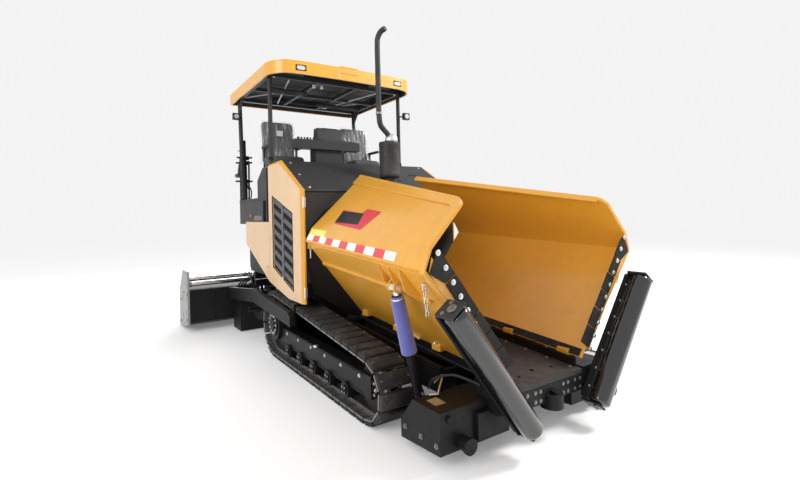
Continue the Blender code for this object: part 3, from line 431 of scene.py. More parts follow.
SIDES = {"right": -1, "left": 1}
MID = 0.400                            # the fit datum lies this far ahead of the origin
WING_FRONT, WING_REAR = -2.69 - MID, -0.40 - MID
WING_THICK = 0.012
HINGE = math.tan(math.radians(4.0))    # slope of the wings' hinge line
wing_front = [(0.436, 0.511), (1.205, 1.395), (1.150, 1.540), (0.840, 1.860)]
wing_rear = [(0.436, 0.671), (1.095, 1.512), (1.028, 1.640), (0.384, 2.228)]
wing_run = [math.dist(a, b) for a, b in zip(wing_front, wing_front[1:])]
wing_stations = [0.0, wing_run[0], wing_run[0] + wing_run[1], sum(wing_run)]
PIN_X, PIN_Y, PIN_Z = 1.083, -2.13 - MID, 1.212            # where a wing cylinder's rod is pinned


def wing_point(side, s, t, lift=0.0):
    """A point on the wing: s along the fold section from the hinge, t from front (0) to rear (1)."""
    i = 0
    while i < 2 and s > wing_stations[i + 1]:
        i += 1
    share = (s - wing_stations[i]) / wing_run[i]
    ends = []
    for row in (wing_front, wing_rear):
        a, b = Vector(row[i]), Vector(row[i + 1])
        along = (b - a).normalized()
        out = Vector((along.y, -along.x))
        ends.append(a.lerp(b, share) + out * lift)
    spot = ends[0].lerp(ends[1], t)
    return Vector((side * spot.x, WING_FRONT + (WING_REAR - WING_FRONT) * t, spot.y))


def wing_sheet(outline, side, low, high, rows=16):
    """A flat blank with (s, t) corners, ruled across its folds, then bent and thickened."""
    bm = bmesh.new()
    bm.faces.new([bm.verts.new((s, t, 0)) for s, t in outline])
    for s in wing_stations[1:3]:
        geom = bm.verts[:] + bm.edges[:] + bm.faces[:]
        bmesh.ops.bisect_plane(bm, geom=geom, dist=1e-6, plane_co=(s, 0, 0), plane_no=(1, 0, 0))
    for k in range(1, rows):
        geom = bm.verts[:] + bm.edges[:] + bm.faces[:]
        bmesh.ops.bisect_plane(bm, geom=geom, dist=1e-6, plane_co=(0, k / rows, 0), plane_no=(0, 1, 0))
    grown = bmesh.ops.extrude_face_region(bm, geom=bm.faces[:])["geom"]
    top = {item for item in grown if isinstance(item, bmesh.types.BMVert)}
    for vert in bm.verts:
        vert.co = wing_point(side, vert.co.x, vert.co.y, high if vert in top else low)
    return bm


TOP = wing_stations[3]
FOLD_A, FOLD_B = wing_stations[2], wing_stations[1]
WING_LENGTH = WING_REAR - WING_FRONT


def top_corner(inset, radius, steps=8):
    """(s, t) points round the top front corner, inset from both edges."""
    s1, t0 = TOP - inset, inset / WING_LENGTH
    points = []
    for i in range(steps + 1):
        angle = math.radians(90 * i / steps)
        points.append((s1 - radius + radius * math.sin(angle),
                       t0 + (radius - radius * math.cos(angle)) / WING_LENGTH))
    return points


FLANGE = 0.075                          # width of the box flange round the wing's free edges
corner = top_corner(0.0, 0.07)
inner_corner = top_corner(FLANGE, 0.05)
for label, side in SIDES.items():
    body = "wing_" + label
    blank = [(0.0, 0.0), (FOLD_B, 0.0), (FOLD_A, 0.0)] + corner + [(TOP, 1.0), (0.0, 1.0)]
    sheet = wing_sheet(blank, side, -WING_THICK / 2, WING_THICK / 2)
    shell = piece("wing_plate_" + label, sheet, YELLOW, body, bevel=0.003)
    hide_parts("wing_" + label)
    rim = FLANGE / WING_LENGTH
    band = ([(0.60, 0.0), (FOLD_B, 0.0), (FOLD_A, 0.0)] + corner + [(TOP, 1.0), (TOP - FLANGE, 1.0)]
            + inner_corner[::-1] + [(FOLD_A, rim * 0.8), (FOLD_B, rim * 0.7), (0.60, rim * 0.6)])
    flange = wing_sheet(band, side, WING_THICK / 2 - 0.001, 0.028)
    piece("wing_flange_" + label, flange, YELLOW, body, bevel=0.006, segments=3)
    lip = [(TOP - 0.016, corner[-1][1]), (TOP, corner[-1][1]), (TOP, 1.0), (TOP - 0.016, 1.0)]
    piece("wing_lip_" + label, wing_sheet(lip, side, -0.030, 0.034), YELLOW, body,
          bevel=0.005, segments=3)

    # The stiffener box between the lower fold and the rib that the cylinder's lugs stand on.
    rib_s, rib_deep = FOLD_B - 0.36, 0.034
    box_rib = [(rib_s, 0.10), (rib_s + 0.045, 0.10), (rib_s + 0.045, 0.97), (rib_s, 0.97)]
    piece("wing_rib_" + label, wing_sheet(box_rib, side, WING_THICK / 2 - 0.001, rib_deep), YELLOW, body,
          bevel=0.006, segments=2)
    doubler = [(rib_s + 0.04, 0.035), (FOLD_B - 0.03, 0.035), (FOLD_B - 0.03, 0.97), (rib_s + 0.04, 0.97)]
    piece("wing_doubler_" + label, wing_sheet(doubler, side, WING_THICK / 2 - 0.001, 0.018), YELLOW, body,
          bevel=0.003)

    # Lower edge: four knuckles with bolts, a tab, and the rubber strip that seals against the floor.
    knuckles = bmesh.new()
    edge_bolts = bmesh.new()
    for t in (0.08, 0.36, 0.64, 0.92):
        spot = wing_point(side, 0.02, t, 0.010)
        add_box(knuckles, spot - Vector((0.035, 0.06, 0.028)), spot + Vector((0.035, 0.06, 0.030)))
        for shift in (-0.035, 0.035):
            add_bolt(edge_bolts, wing_point(side, 0.052, t + shift / WING_LENGTH, 0.006),
                     (side * 0.75, 0, -0.66), 0.011)
    piece("wing_knuckles_" + label, knuckles, YELLOW, body, bevel=0.008)
    piece("wing_edge_bolts_" + label, edge_bolts, ZINC, body, bevel=0.001)
    strip = wing_sheet([(0.006, 0.01), (0.075, 0.01), (0.075, 0.985), (0.006, 0.985)], side, -0.016, -0.0058)
    piece("wing_seal_" + label, strip, RUBBER, body, bevel=0.002)
    tab = wing_sheet([(0.02, 0.60), (0.055, 0.58), (0.055, 0.50), (0.02, 0.48)], side, 0.006, 0.030)
    piece("wing_tab_" + label, tab, YELLOW, body, bevel=0.004)

    # Two lugs with rounded ends hold the cylinder's head on a pin with a bolted cap.
    pin = Vector((side * PIN_X, PIN_Y, PIN_Z))
    out = Vector((side * math.sin(math.radians(51)), 0, -math.cos(math.radians(51))))
    up = Vector((side * out.z * -1, 0, abs(out.x)))
    lugs = bmesh.new()
    lug = [(-0.075, -0.062), (-0.075, 0.062)] + arc((0, 0), 0.044, 80, -80, 8)
    for shift in (-0.0503, 0.0303):
        add_plate(lugs, lug, 0.020,
                  lambda a, b, c, shift=shift: pin + out * a + up * b + Vector((0, shift + c, 0)))
    piece("wing_lugs_" + label, lugs, YELLOW, body, bevel=0.004)
    pins = bmesh.new()
    add_rod(pins, pin - Vector((0, 0.060, 0)), pin + Vector((0, 0.056, 0)), 0.016, 20)
    add_rod(pins, pin - Vector((0, 0.066, 0)), pin - Vector((0, 0.0505, 0)), 0.026, 20)
    add_bolt(pins, pin - Vector((0, 0.066, 0)), (0, -1, 0), 0.012)
    piece("wing_pin_" + label, pins, ZINC, body, bevel=0.0015)

    # Three gussets either side of the lugs, welded between the rib and the lower fold.
    gussets = bmesh.new()
    for t, reach in ((0.145, 0.10), (0.225, 0.07), (0.292, 0.07)):
        foot, head = wing_point(side, rib_s + 0.02, t, 0.0), wing_point(side, FOLD_B - 0.03, t, 0.0)
        rise = (wing_point(side, rib_s + 0.1, t, reach) - wing_point(side, rib_s + 0.1, t, 0.0))
        corners = [foot, foot + rise * 0.5, (foot + head) / 2 + rise, head + rise * 0.35, head]
        face = gussets.faces.new([gussets.verts.new(c) for c in corners])
        grown = bmesh.ops.extrude_face_region(gussets, geom=[face])["geom"]
        moved = [item for item in grown if isinstance(item, bmesh.types.BMVert)]
        bmesh.ops.translate(gussets, verts=moved, vec=(0, 0.010, 0))
    piece("wing_gussets_" + label, gussets, YELLOW, body, bevel=0.002)

    # Rear latch: a bracket with a pin, and the locking rod that hangs from it.
    latch_at = wing_point(side, FOLD_B - 0.045, 0.955, 0.0)
    latch = bmesh.new()
    for shift in (-0.030, 0.022):
        add_box(latch, latch_at + Vector((-0.035, shift, -0.050)),
                latch_at + Vector((0.035, shift + 0.008, 0.01)))
    piece("wing_latch_" + label, latch, YELLOW, body, bevel=0.003)
    rod = bmesh.new()
    add_rod(rod, latch_at + Vector((0, -0.05, -0.032)), latch_at + Vector((0, 0.045, -0.032)), 0.013, 16)
    add_rod(rod, latch_at + Vector((0, -0.066, -0.032)), latch_at + Vector((0, -0.05, -0.032)), 0.022, 16)
    add_rod(rod, latch_at + Vector((0, 0.036, -0.035)), latch_at + Vector((0, 0.036, -0.150)), 0.006, 12)
    piece("wing_latch_pin_" + label, rod, ZINC, body, bevel=0.001)

# Reflective tape, a blank badge and blank notices: thin printed film pressed onto the paint.
RED_TAPE = paint("tape_red", (0.62, 0.045, 0.055), 0.35, dust=0.1, coat=0.2)
WHITE_TAPE = paint("tape_white", (0.78, 0.76, 0.74), 0.35, dust=0.1, coat=0.2)
NOTICE = paint("notice_yellow", (0.80, 0.68, 0.14), 0.4, dust=0.1, coat=0.2)
BADGE_BLACK = paint("badge_black", (0.012, 0.010, 0.011), 0.3, dust=0.05, coat=0.4)
FILM = 0.0012
for label, side in SIDES.items():
    body = "wing_" + label
    first, last, blocks = 0.992, 0.175, 11
    low_s, high_s = FOLD_B + 0.012, FOLD_B + 0.082
    for k, (name, film) in enumerate((("white", WHITE_TAPE), ("red", RED_TAPE))):
        tape = bmesh.new()
        for i in range(k, blocks, 2):
            t0 = first + (last - first) * (i + 1) / blocks
            t1 = first + (last - first) * i / blocks
            block = wing_sheet([(low_s, t0), (high_s, t0), (high_s, t1), (low_s, t1)], side, 0.0059,
                               0.0060 + FILM, rows=1)
            merge_into(tape, block)
        piece("wing_tape_%s_%s" % (name, label), tape, film, body)
    note = wing_sheet([(FOLD_A - 0.075, 0.80), (FOLD_A - 0.002, 0.80), (FOLD_A - 0.002, 0.985),
                       (FOLD_A - 0.075, 0.985)], side, 0.0059, 0.0060 + FILM, rows=1)
    piece("wing_notice_" + label, note, NOTICE, body)
    s0 = FOLD_A + 0.045
    badge = wing_sheet([(s0, 0.51), (s0 + 0.015, 0.79), (s0 + 0.125, 0.83), (s0 + 0.125, 0.62),
                        (s0 + 0.165, 0.60), (s0 + 0.165, 0.46)], side, 0.0059, 0.0060 + FILM, rows=1)
    piece("wing_badge_red_" + label, badge, RED_TAPE, body)
    face = wing_sheet([(s0 + 0.035, 0.565), (s0 + 0.025, 0.80), (s0 + 0.115, 0.82), (s0 + 0.125, 0.60)],
                      side, 0.0066, 0.0062 + FILM * 2, rows=1)
    piece("wing_badge_black_" + label, face, BADGE_BLACK, body)

# Safety chain: five short welded links that hang from the wing's front flange.
for label, side in SIDES.items():
    chain = bmesh.new()
    top = wing_point(side, FOLD_B - 0.10, 0.035, 0.030) + Vector((0, 0.0, -0.01))
    link_long, link_wide, wire = 0.056, 0.034, 0.0048
    for i in range(5):
        half = link_long / 2 - link_wide / 2
        loop = arc((0, half), link_wide / 2 - wire, 0, 180, 6) + arc((0, -half), link_wide / 2 - wire, 180,
                                                                     360, 6)
        centre = top - Vector((side * 0.006 * i, 0, 0.020 + i * (link_long - 2.4 * wire)))
        flat = i % 2
        rings = []
        for j, (a, b) in enumerate(loop):
            before, after = Vector((*loop[j - 1], 0)), Vector((*loop[(j + 1) % len(loop)], 0))
            ahead = (after - before).normalized()
            sideways = Vector((ahead.y, -ahead.x, 0))
            row = []
            for k in range(6):
                angle = 2 * math.pi * k / 6
                rise = Vector((0, 0, wire)) * math.sin(angle)
                spot = Vector((a, b, 0)) + sideways * wire * math.cos(angle) + rise
                x, y, z = spot.x, spot.z, spot.y
                if flat:
                    x, y = y, x
                row.append(chain.verts.new(centre + Vector((x, y, z))))
            rings.append(row)
        for row, after in zip(rings, rings[1:] + rings[:1]):
            for k in range(6):
                chain.faces.new((row[k], row[(k + 1) % 6], after[(k + 1) % 6], after[k]))
    add_rod(chain, top + Vector((0, -0.022, -0.002)), top + Vector((0, 0.022, -0.002)), 0.008, 12)
    piece("safety_chain_" + label, chain, ZINC, "wing_" + label, smooth=60)


# ------------------------------------------------------------------ wing flaps
# Rubber belting closes the gap ahead of each wing: six overlapping strips clamped by a row of
# zinc bolts on wide washers.
flap_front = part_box("wing_flap_right")[0].y
FLAP_THICK = 0.012
flap_inner = [(1.06, 1.495), (0.42, 0.655)]
flap_outer = [(1.150, 1.440), (0.52, 0.585)]
for label, side in SIDES.items():
    body = "wing_" + label
    rubber = bmesh.new()
    count = 6
    for i in range(count):
        cuts = []
        for share in (i / count + 0.004, (i + 1) / count - 0.004):
            inner = Vector(flap_inner[0]).lerp(Vector(flap_inner[1]), share)
            outer = Vector(flap_outer[0]).lerp(Vector(flap_outer[1]), share)
            cuts.append((inner, outer))
        (a, b), (c, d) = cuts
        shape = [(a.x, a.y), (b.x, b.y), (d.x, d.y), (c.x, c.y)]
        if i == 0:
            shape = [(a.x, a.y), (1.11, 1.520), (1.180, 1.375), (d.x, d.y), (c.x, c.y)]
        lean = 0.003 * (i % 2)
        add_plate(rubber, shape, FLAP_THICK,
                  lambda p, q, r, lean=lean: Vector((side * p, flap_front + r - lean, q)))
    flap = piece("wing_flap_strips_" + label, rubber, RUBBER, body, bevel=0.003)
    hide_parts("wing_flap_" + label)
    bolts = bmesh.new()
    for i in range(10):
        share = i / 9
        x, z = 1.109 + (0.541 - 1.109) * share, 1.504 + (0.567 - 1.504) * share
        spot = Vector((side * x, flap_front + 0.0005 - 0.003, z + 0.008))
        add_rod(bolts, spot, spot - Vector((0, 0.004, 0)), 0.021, 18)
        add_bolt(bolts, spot - Vector((0, 0.004, 0)), (0, -1, 0), 0.011)
    piece("wing_flap_bolts_" + label, bolts, ZINC, body, bevel=0.001)
    clamp = bmesh.new()
    strap = [(1.150, 1.485), (1.175, 1.380), (0.545, 0.560), (0.515, 0.585)]
    add_plate(clamp, strap, 0.008, lambda p, q, r: Vector((side * p, WING_FRONT - 0.0008 + r, q)))
    piece("wing_flap_strap_" + label, clamp, YELLOW, body, bevel=0.002)


# ------------------------------------------------------------------ wing cylinders
# Welded hydraulic cylinders: a black barrel with collars and a port for one thin hose, and a blue
# canvas sleeve that is strapped below the rod's eye and slips down over the barrel.
canvas = Finish("blue_canvas", (0.075, 0.085, 0.34), 0.85, Sheen_Weight=0.4, Sheen_Roughness=0.5)
weave_a = canvas.node("TexWave", {"wave_type": "BANDS", "bands_direction": "Z"},
                      {"Vector": canvas.place, "Scale": 260.0, "Distortion": 0.6}, "Fac")
weave_b = canvas.node("TexWave", {"wave_type": "BANDS", "bands_direction": "X"},
                      {"Vector": canvas.place, "Scale": 260.0, "Distortion": 0.6}, "Fac")
fade = canvas.noise(9.0, 5, 0.6)
canvas.colour_from(canvas.blend_colour(fade, (0.050, 0.055, 0.25, 1), (0.12, 0.13, 0.42, 1)))
canvas.bumps(weave_a + weave_b, 0.0004, 0.7)
canvas.set_roughness(fade * 0.15 + 0.75)
for label, side in SIDES.items():
    top = Vector((side * PIN_X, PIN_Y, PIN_Z))
    foot = Vector((side * 0.82, top.y + (top.z - 0.26) * HINGE, 0.26))
    along = (top - foot).normalized()
    length = (top - foot).length
    turn = along.to_track_quat("Z", "Y").to_matrix().to_4x4()
    sleeve = bmesh.new()
    low, high = 0.43, length - 0.072     # the sleeve's two ends, along the cylinder
    steps, sides = 46, 40
    rng = random.Random(7)
    folds = [(rng.uniform(0, math.tau), rng.randint(2, 5), rng.uniform(0.4, 1.0)) for _ in range(4)]
    rows = []
    for i in range(steps + 1):
        share = i / steps
        radius = 0.064 + (0.054 - 0.064) * share
        if share > 0.93:
            radius -= 0.010 * (share - 0.93) / 0.07
        row = []
        for j in range(sides):
            angle = math.tau * j / sides
            ripple = sum(size * math.sin(angle * waves + phase + share * 3) for phase, waves, size in folds)
            swell = 0.0011 * ripple * math.sin(math.pi * min(share * 1.1, 1)) + 0.0009 * math.sin(share * 46)
            spot = Vector((math.cos(angle), math.sin(angle), 0)) * (radius + swell)
            row.append(sleeve.verts.new(foot + turn @ (spot + Vector((0, 0, low + (high - low) * share)))))
        rows.append(row)
    for row, after in zip(rows, rows[1:]):
        for j in range(sides):
            sleeve.faces.new((row[j], row[(j + 1) % sides], after[(j + 1) % sides], after[j]))
    cloth = piece("cylinder_sleeve_" + label, sleeve, canvas.material, "wing_cylinder_rod_" + label,
                  smooth=80)
    wall = cloth.modifiers.new("wall", "SOLIDIFY")
    wall.thickness = 0.0025
    wall.offset = -1
    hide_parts("wing_cylinder_rod_" + label)
    head = bmesh.new()
    add_rod(head, foot + along * 0.50, top - along * 0.01, 0.024, 24)
    add_rod(head, top - Vector((0, 0.0297, 0)), top + Vector((0, 0.0297, 0)), 0.038, 28)
    piece("wing_rod_" + label, head, CHROME, "wing_cylinder_rod_" + label, bevel=0.002)
    strap = bmesh.new()
    add_rod(strap, top - along * 0.098, top - along * 0.086, 0.0525, 28)
    piece("sleeve_strap_" + label, strap, ZINC, "wing_cylinder_rod_" + label, bevel=0.001)
    collar = bmesh.new()
    add_rod(collar, foot + along * 0.045, foot + along * 0.075, 0.047, 28)
    add_rod(collar, foot + along * 0.535, foot + along * 0.562, 0.0450, 28)
    port = foot + along * 0.078 + Vector((0, -0.066, 0))
    add_rod(collar, foot + along * 0.078, port, 0.013, 14)
    piece("barrel_collars_" + label, collar, BLACK, "wing_cylinder_barrel_" + label,
          bevel=0.002)
    pipe("wing_cylinder_hose_" + label,
         [port, port + Vector((0, -0.016, -0.004)), port + Vector((0, -0.026, -0.03)),
          port + Vector((side * 0.004, -0.012, -0.09)), port + Vector((side * 0.004, 0.025, -0.115))],
         0.008, PLASTIC, "wing_cylinder_barrel_" + label)
    fittings = bmesh.new()
    add_rod(fittings, port + Vector((0, 0.018, 0)), port + Vector((0, -0.006, 0)), 0.0125, 6)
    piece("wing_cylinder_fitting_" + label, fittings, ZINC, "wing_cylinder_barrel_" + label,
          bevel=0.001)


# ------------------------------------------------------------------ push rollers
# Thick steel tubes with domed ends, painted gloss black. Each turns on stub axles in a folding
# arm: a channel with end plates, a head with hubs and bolts, and the pivot on the front beam.
GLOSS = paint("roller_gloss_black", (0.005, 0.005, 0.006), 0.14, dust=0.02, dust_top=0.4, coat=0.8)
FOLD = math.radians(53)
ROLLER, ROLLER_LENGTH = 0.085, 1.18
for label, side in SIDES.items():
    arm_body, roll_body = "push_roller_arm_" + label, "push_roller_" + label
    pivot = Vector((side * 0.53, -2.865 - MID, 0.40))
    along = Vector((side * math.cos(FOLD), 0, math.sin(FOLD)))
    across = Vector((side * math.sin(FOLD), 0, -math.cos(FOLD)))
    start = pivot - along * 0.24 + across * 0.02
    turn = Matrix((Vector((0, 1, 0)).cross(along), Vector((0, 1, 0)), along)).transposed().to_4x4()
    frame_at = Matrix.Translation(start) @ turn
    profile = [(0.0, -0.012), (0.050, -0.010)] + arc((0.055, 0.022), 0.030, -90, 0, 6)
    profile += [(ROLLER, 0.045), (ROLLER, ROLLER_LENGTH - 0.045)]
    profile += arc((0.055, ROLLER_LENGTH - 0.022), 0.030, 0, 90, 6) + [(0.050, ROLLER_LENGTH + 0.010),
                                                                       (0.0, ROLLER_LENGTH + 0.012)]
    tube = turned(profile)
    bmesh.ops.transform(tube, matrix=frame_at, verts=tube.verts[:])
    roller = piece("push_roller_shell_" + label, tube, GLOSS, roll_body, smooth=50)
    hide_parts(roll_body)

    def on_arm(a, b, c):
        """A point by its place along, ahead of and across the roller's axis."""
        return start + along * a + Vector((0, b, 0)) + across * c

    def arm_block(bm, a, b, c):
        corner_a, corner_b = (a[0], b[0], c[0]), (a[1], b[1], c[1])
        made = bmesh.ops.create_cube(bm, size=1)["verts"]
        for vert in made:
            share = [0.5 + n for n in vert.co]
            vert.co = on_arm(*[p + (q - p) * s for p, q, s in zip(corner_a, corner_b, share)])

    arm = bmesh.new()
    arm_block(arm, (-0.034, ROLLER_LENGTH + 0.034), (0.098, 0.112), (-0.074, 0.074))
    arm_block(arm, (0.0, ROLLER_LENGTH), (0.108, 0.132), (-0.074, -0.060))
    arm_block(arm, (0.0, ROLLER_LENGTH), (0.108, 0.132), (0.060, 0.074))
    for a, way in ((0.0, -1), (ROLLER_LENGTH, 1)):
        low, high = sorted((a + way * 0.014, a + way * 0.031))
        arm_block(arm, (low, high), (-0.034, 0.112), (-0.066, 0.066))
    channel = piece("push_arm_channel_" + label, arm, BLACK, arm_body, bevel=0.005)
    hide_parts(arm_body)
    head = bmesh.new()
    arm_block(head, (ROLLER_LENGTH + 0.012, ROLLER_LENGTH + 0.033), (-0.060, 0.116), (-0.078, 0.078))
    piece("push_arm_head_" + label, head, GREY, arm_body, bevel=0.010, segments=3)
    hub = bmesh.new()
    for a, way in ((ROLLER_LENGTH + 0.033, 1), (-0.031, -1)):
        spot = on_arm(a, 0, 0)
        add_rod(hub, spot, spot + along * way * 0.012, 0.034, 24)
        add_bolt(hub, spot + along * way * 0.010, along * way, 0.015)
        for c in (-0.048, 0.048):
            add_bolt(hub, on_arm(a, 0.055, c), along * way, 0.010)
    piece("push_arm_hub_" + label, hub, CAST, arm_body, bevel=0.0015)
    boss = bmesh.new()
    beam_face = -2.72 - MID - 0.0045
    add_rod(boss, (pivot.x, pivot.y + 0.112, pivot.z), (pivot.x, beam_face, pivot.z), 0.055, 28)
    piece("push_arm_boss_" + label, boss, BLACK, arm_body, bevel=0.004)
    row = bmesh.new()
    for i in range(7):
        a = 0.10 + i * (ROLLER_LENGTH - 0.2) / 6
        add_bolt(row, on_arm(a, 0.097, -0.050), (0, -1, 0), 0.008)
    piece("push_arm_bolts_" + label, row, ZINC, arm_body, bevel=0.001)


# ------------------------------------------------------------------ front beam and hopper floor
# The floor is a thick plate with drain holes, a slot and rows of bolts. The beam below carries the
# tow piece, and the side blocks carry the wing cylinders, hoses and the cross shaft's stubs.
FLOOR_PAINT = paint("floor_grey", (0.022, 0.022, 0.023), 0.5, dust=0.12, dust_top=1.2, coat=0.0, peel=0.0004,
                    gloss=0.3)


def floor_z(y):
    """Height of the hopper floor's upper face, which runs parallel to the hinge line."""
    return 0.505 + (y - WING_FRONT) * HINGE - 0.062


half = 0.43 - 0.026 - 0.0003           # the floor's half width: the hinge line less knuckle and gap
plate_rear = -0.32 - MID
front_y = -2.72 - MID
deck = bmesh.new()
outline = [(-half + 0.002, front_y), (half - 0.002, front_y), (half - 0.002, 1.45 - MID),
           (-half + 0.002, 1.45 - MID)]


def floor_spot(a, b, c):
    ahead = min(b, plate_rear)
    return Vector((a, b, floor_z(ahead) + (b - ahead) * 0.0113 - c))


face = deck.faces.new([deck.verts.new((x, y, 0)) for x, y in outline])
geom = deck.verts[:] + deck.edges[:] + deck.faces[:]
bmesh.ops.bisect_plane(deck, geom=geom, dist=1e-6, plane_co=(0, plate_rear, 0), plane_no=(0, 1, 0))
grown = bmesh.ops.extrude_face_region(deck, geom=deck.faces[:])["geom"]
lower = {item for item in grown if isinstance(item, bmesh.types.BMVert)}
for vert in deck.verts:
    vert.co = floor_spot(vert.co.x, vert.co.y, 0.035 if vert in lower else 0.0)
plate_obj = piece("hopper_base_plate", deck, FLOOR_PAINT, "machine", bevel=0.003)
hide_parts("hopper_floor")
for x, y, long_y, wide in ((0.0, front_y + 0.20, 0.0, 0.022), (-0.20, front_y + 0.16, 0.0, 0.018),
                           (0.20, front_y + 0.16, 0.0, 0.018), (0.0, front_y + 0.52, 0.0, 0.018),
                           (-0.17, front_y + 0.44, 0.07, 0.018)):
    hole = bmesh.new()
    shape = arc((x + long_y, y), wide, -90, 90, 10) + arc((x - long_y, y), wide, 90, 270, 10)
    add_plate(hole, shape, 0.2, lambda p, q, r: Vector((p, q, floor_z(q) - 0.1 + r)))
    cut(plate_obj, hole)
under = bmesh.new()
for x in (-half + 0.006, half - 0.046):
    web = [(front_y + 0.12, floor_z(front_y) - 0.02), (plate_rear - 0.1, floor_z(plate_rear) - 0.03),
           (plate_rear - 0.1, 0.4403), (front_y + 0.12, 0.4403)]
    add_plate(under, web, 0.04, lambda p, q, r, x=x: Vector((x + r, p, q)))
for side in SIDES.values():
    y0, y1 = WING_FRONT + 0.03, WING_REAR - 0.03
    low = min(side * (half - 0.022), side * half)
    rail = [(y0, floor_z(y0) + 0.072), (y1, floor_z(y1) + 0.072), (y1, floor_z(y1) - 0.02),
            (y0, floor_z(y0) - 0.02)]
    add_plate(under, rail, 0.022, lambda p, q, r, low=low: Vector((low + r, p, q)))
piece("hopper_floor_webs", under, BLACK, "machine", bevel=0.002)
floor_bolts = bmesh.new()
for side in SIDES.values():
    for i in range(9):
        y = front_y + 0.08 + i * 0.24
        add_bolt(floor_bolts, (side * 0.345, y, floor_z(y)), (0, 0, 1), 0.012)
piece("hopper_floor_bolts", floor_bolts, CAST, "machine", bevel=0.0015)

tow = bmesh.new()
for z, thick, wide in ((0.218, 0.016, 0.088), (0.316, 0.016, 0.088)):
    add_rod(tow, (0, front_y + 0.008, z), (0, front_y + 0.008, z + thick), wide, 32)
add_rod(tow, (0, front_y - 0.030, 0.205), (0, front_y - 0.030, 0.345), 0.020, 20)
add_rod(tow, (0, front_y - 0.030, 0.340), (0, front_y - 0.030, 0.356), 0.030, 20)
piece("tow_piece", tow, BLACK, "machine", bevel=0.003)
beam_bolts = bmesh.new()
for side in SIDES.values():
    for x in (0.14, 0.20, 0.29, 0.36):
        for z in (0.30, 0.37):
            add_bolt(beam_bolts, (side * x, front_y - 0.005, z), (0, -1, 0), 0.010, 0.003)
    for y in (-2.58, -2.40, -2.20):
        add_bolt(beam_bolts, (side * 1.0605, y - MID, 0.16), (side, 0, 0), 0.014)
piece("front_beam_bolts", beam_bolts, CAST, "machine", bevel=0.0015)

for label, side in SIDES.items():
    extras = bmesh.new()
    add_rod(extras, (side * 0.86, -2.62 - MID + 0.01, 0.15), (side * 0.86, -2.69 - MID, 0.15), 0.052, 28)
    add_rod(extras, (side * 0.86, -2.685 - MID, 0.15), (side * 0.86, -2.715 - MID, 0.15), 0.060, 28)
    add_side_box(extras, side, (0.62, -2.66 - MID, 0.13), (0.74, -2.61 - MID, 0.33))
    for x in (0.50, 0.98):
        add_rod(extras, (side * x, -2.615 - MID, 0.34), (side * x, -2.64 - MID, 0.34), 0.026, 20)
    piece("front_block_fittings_" + label, extras, BLACK, "machine", bevel=0.004)
    tag = bmesh.new()
    add_side_box(tag, side, (0.90, -2.50 - MID, 0.3955), (0.99, -2.38 - MID, 0.3985))
    add_rod(tag, (side * 0.86, -2.36 - MID, 0.408), (side * 0.93, -2.33 - MID, 0.408), 0.010, 12)
    piece("front_block_tag_" + label, tag, ZINC, "machine", bevel=0.001)
    pipe("front_hose_a_" + label,
         [(side * 0.72, -2.05 - MID, 0.33), (side * 0.75, -2.16 - MID, 0.44),
          (side * 0.68, -2.32 - MID, 0.50),
          (side * 0.60, -2.46 - MID, 0.47), (side * 0.58, -2.52 - MID,
                                             0.455)], 0.011, PLASTIC, "machine")
    pipe("front_hose_b_" + label,
         [(side * 0.66, -2.05 - MID, 0.36), (side * 0.69, -2.20 - MID, 0.47),
          (side * 0.80, -2.30 - MID, 0.43),
          (side * 0.84, -2.33 - MID, 0.40)], 0.008, ZINC, "machine")
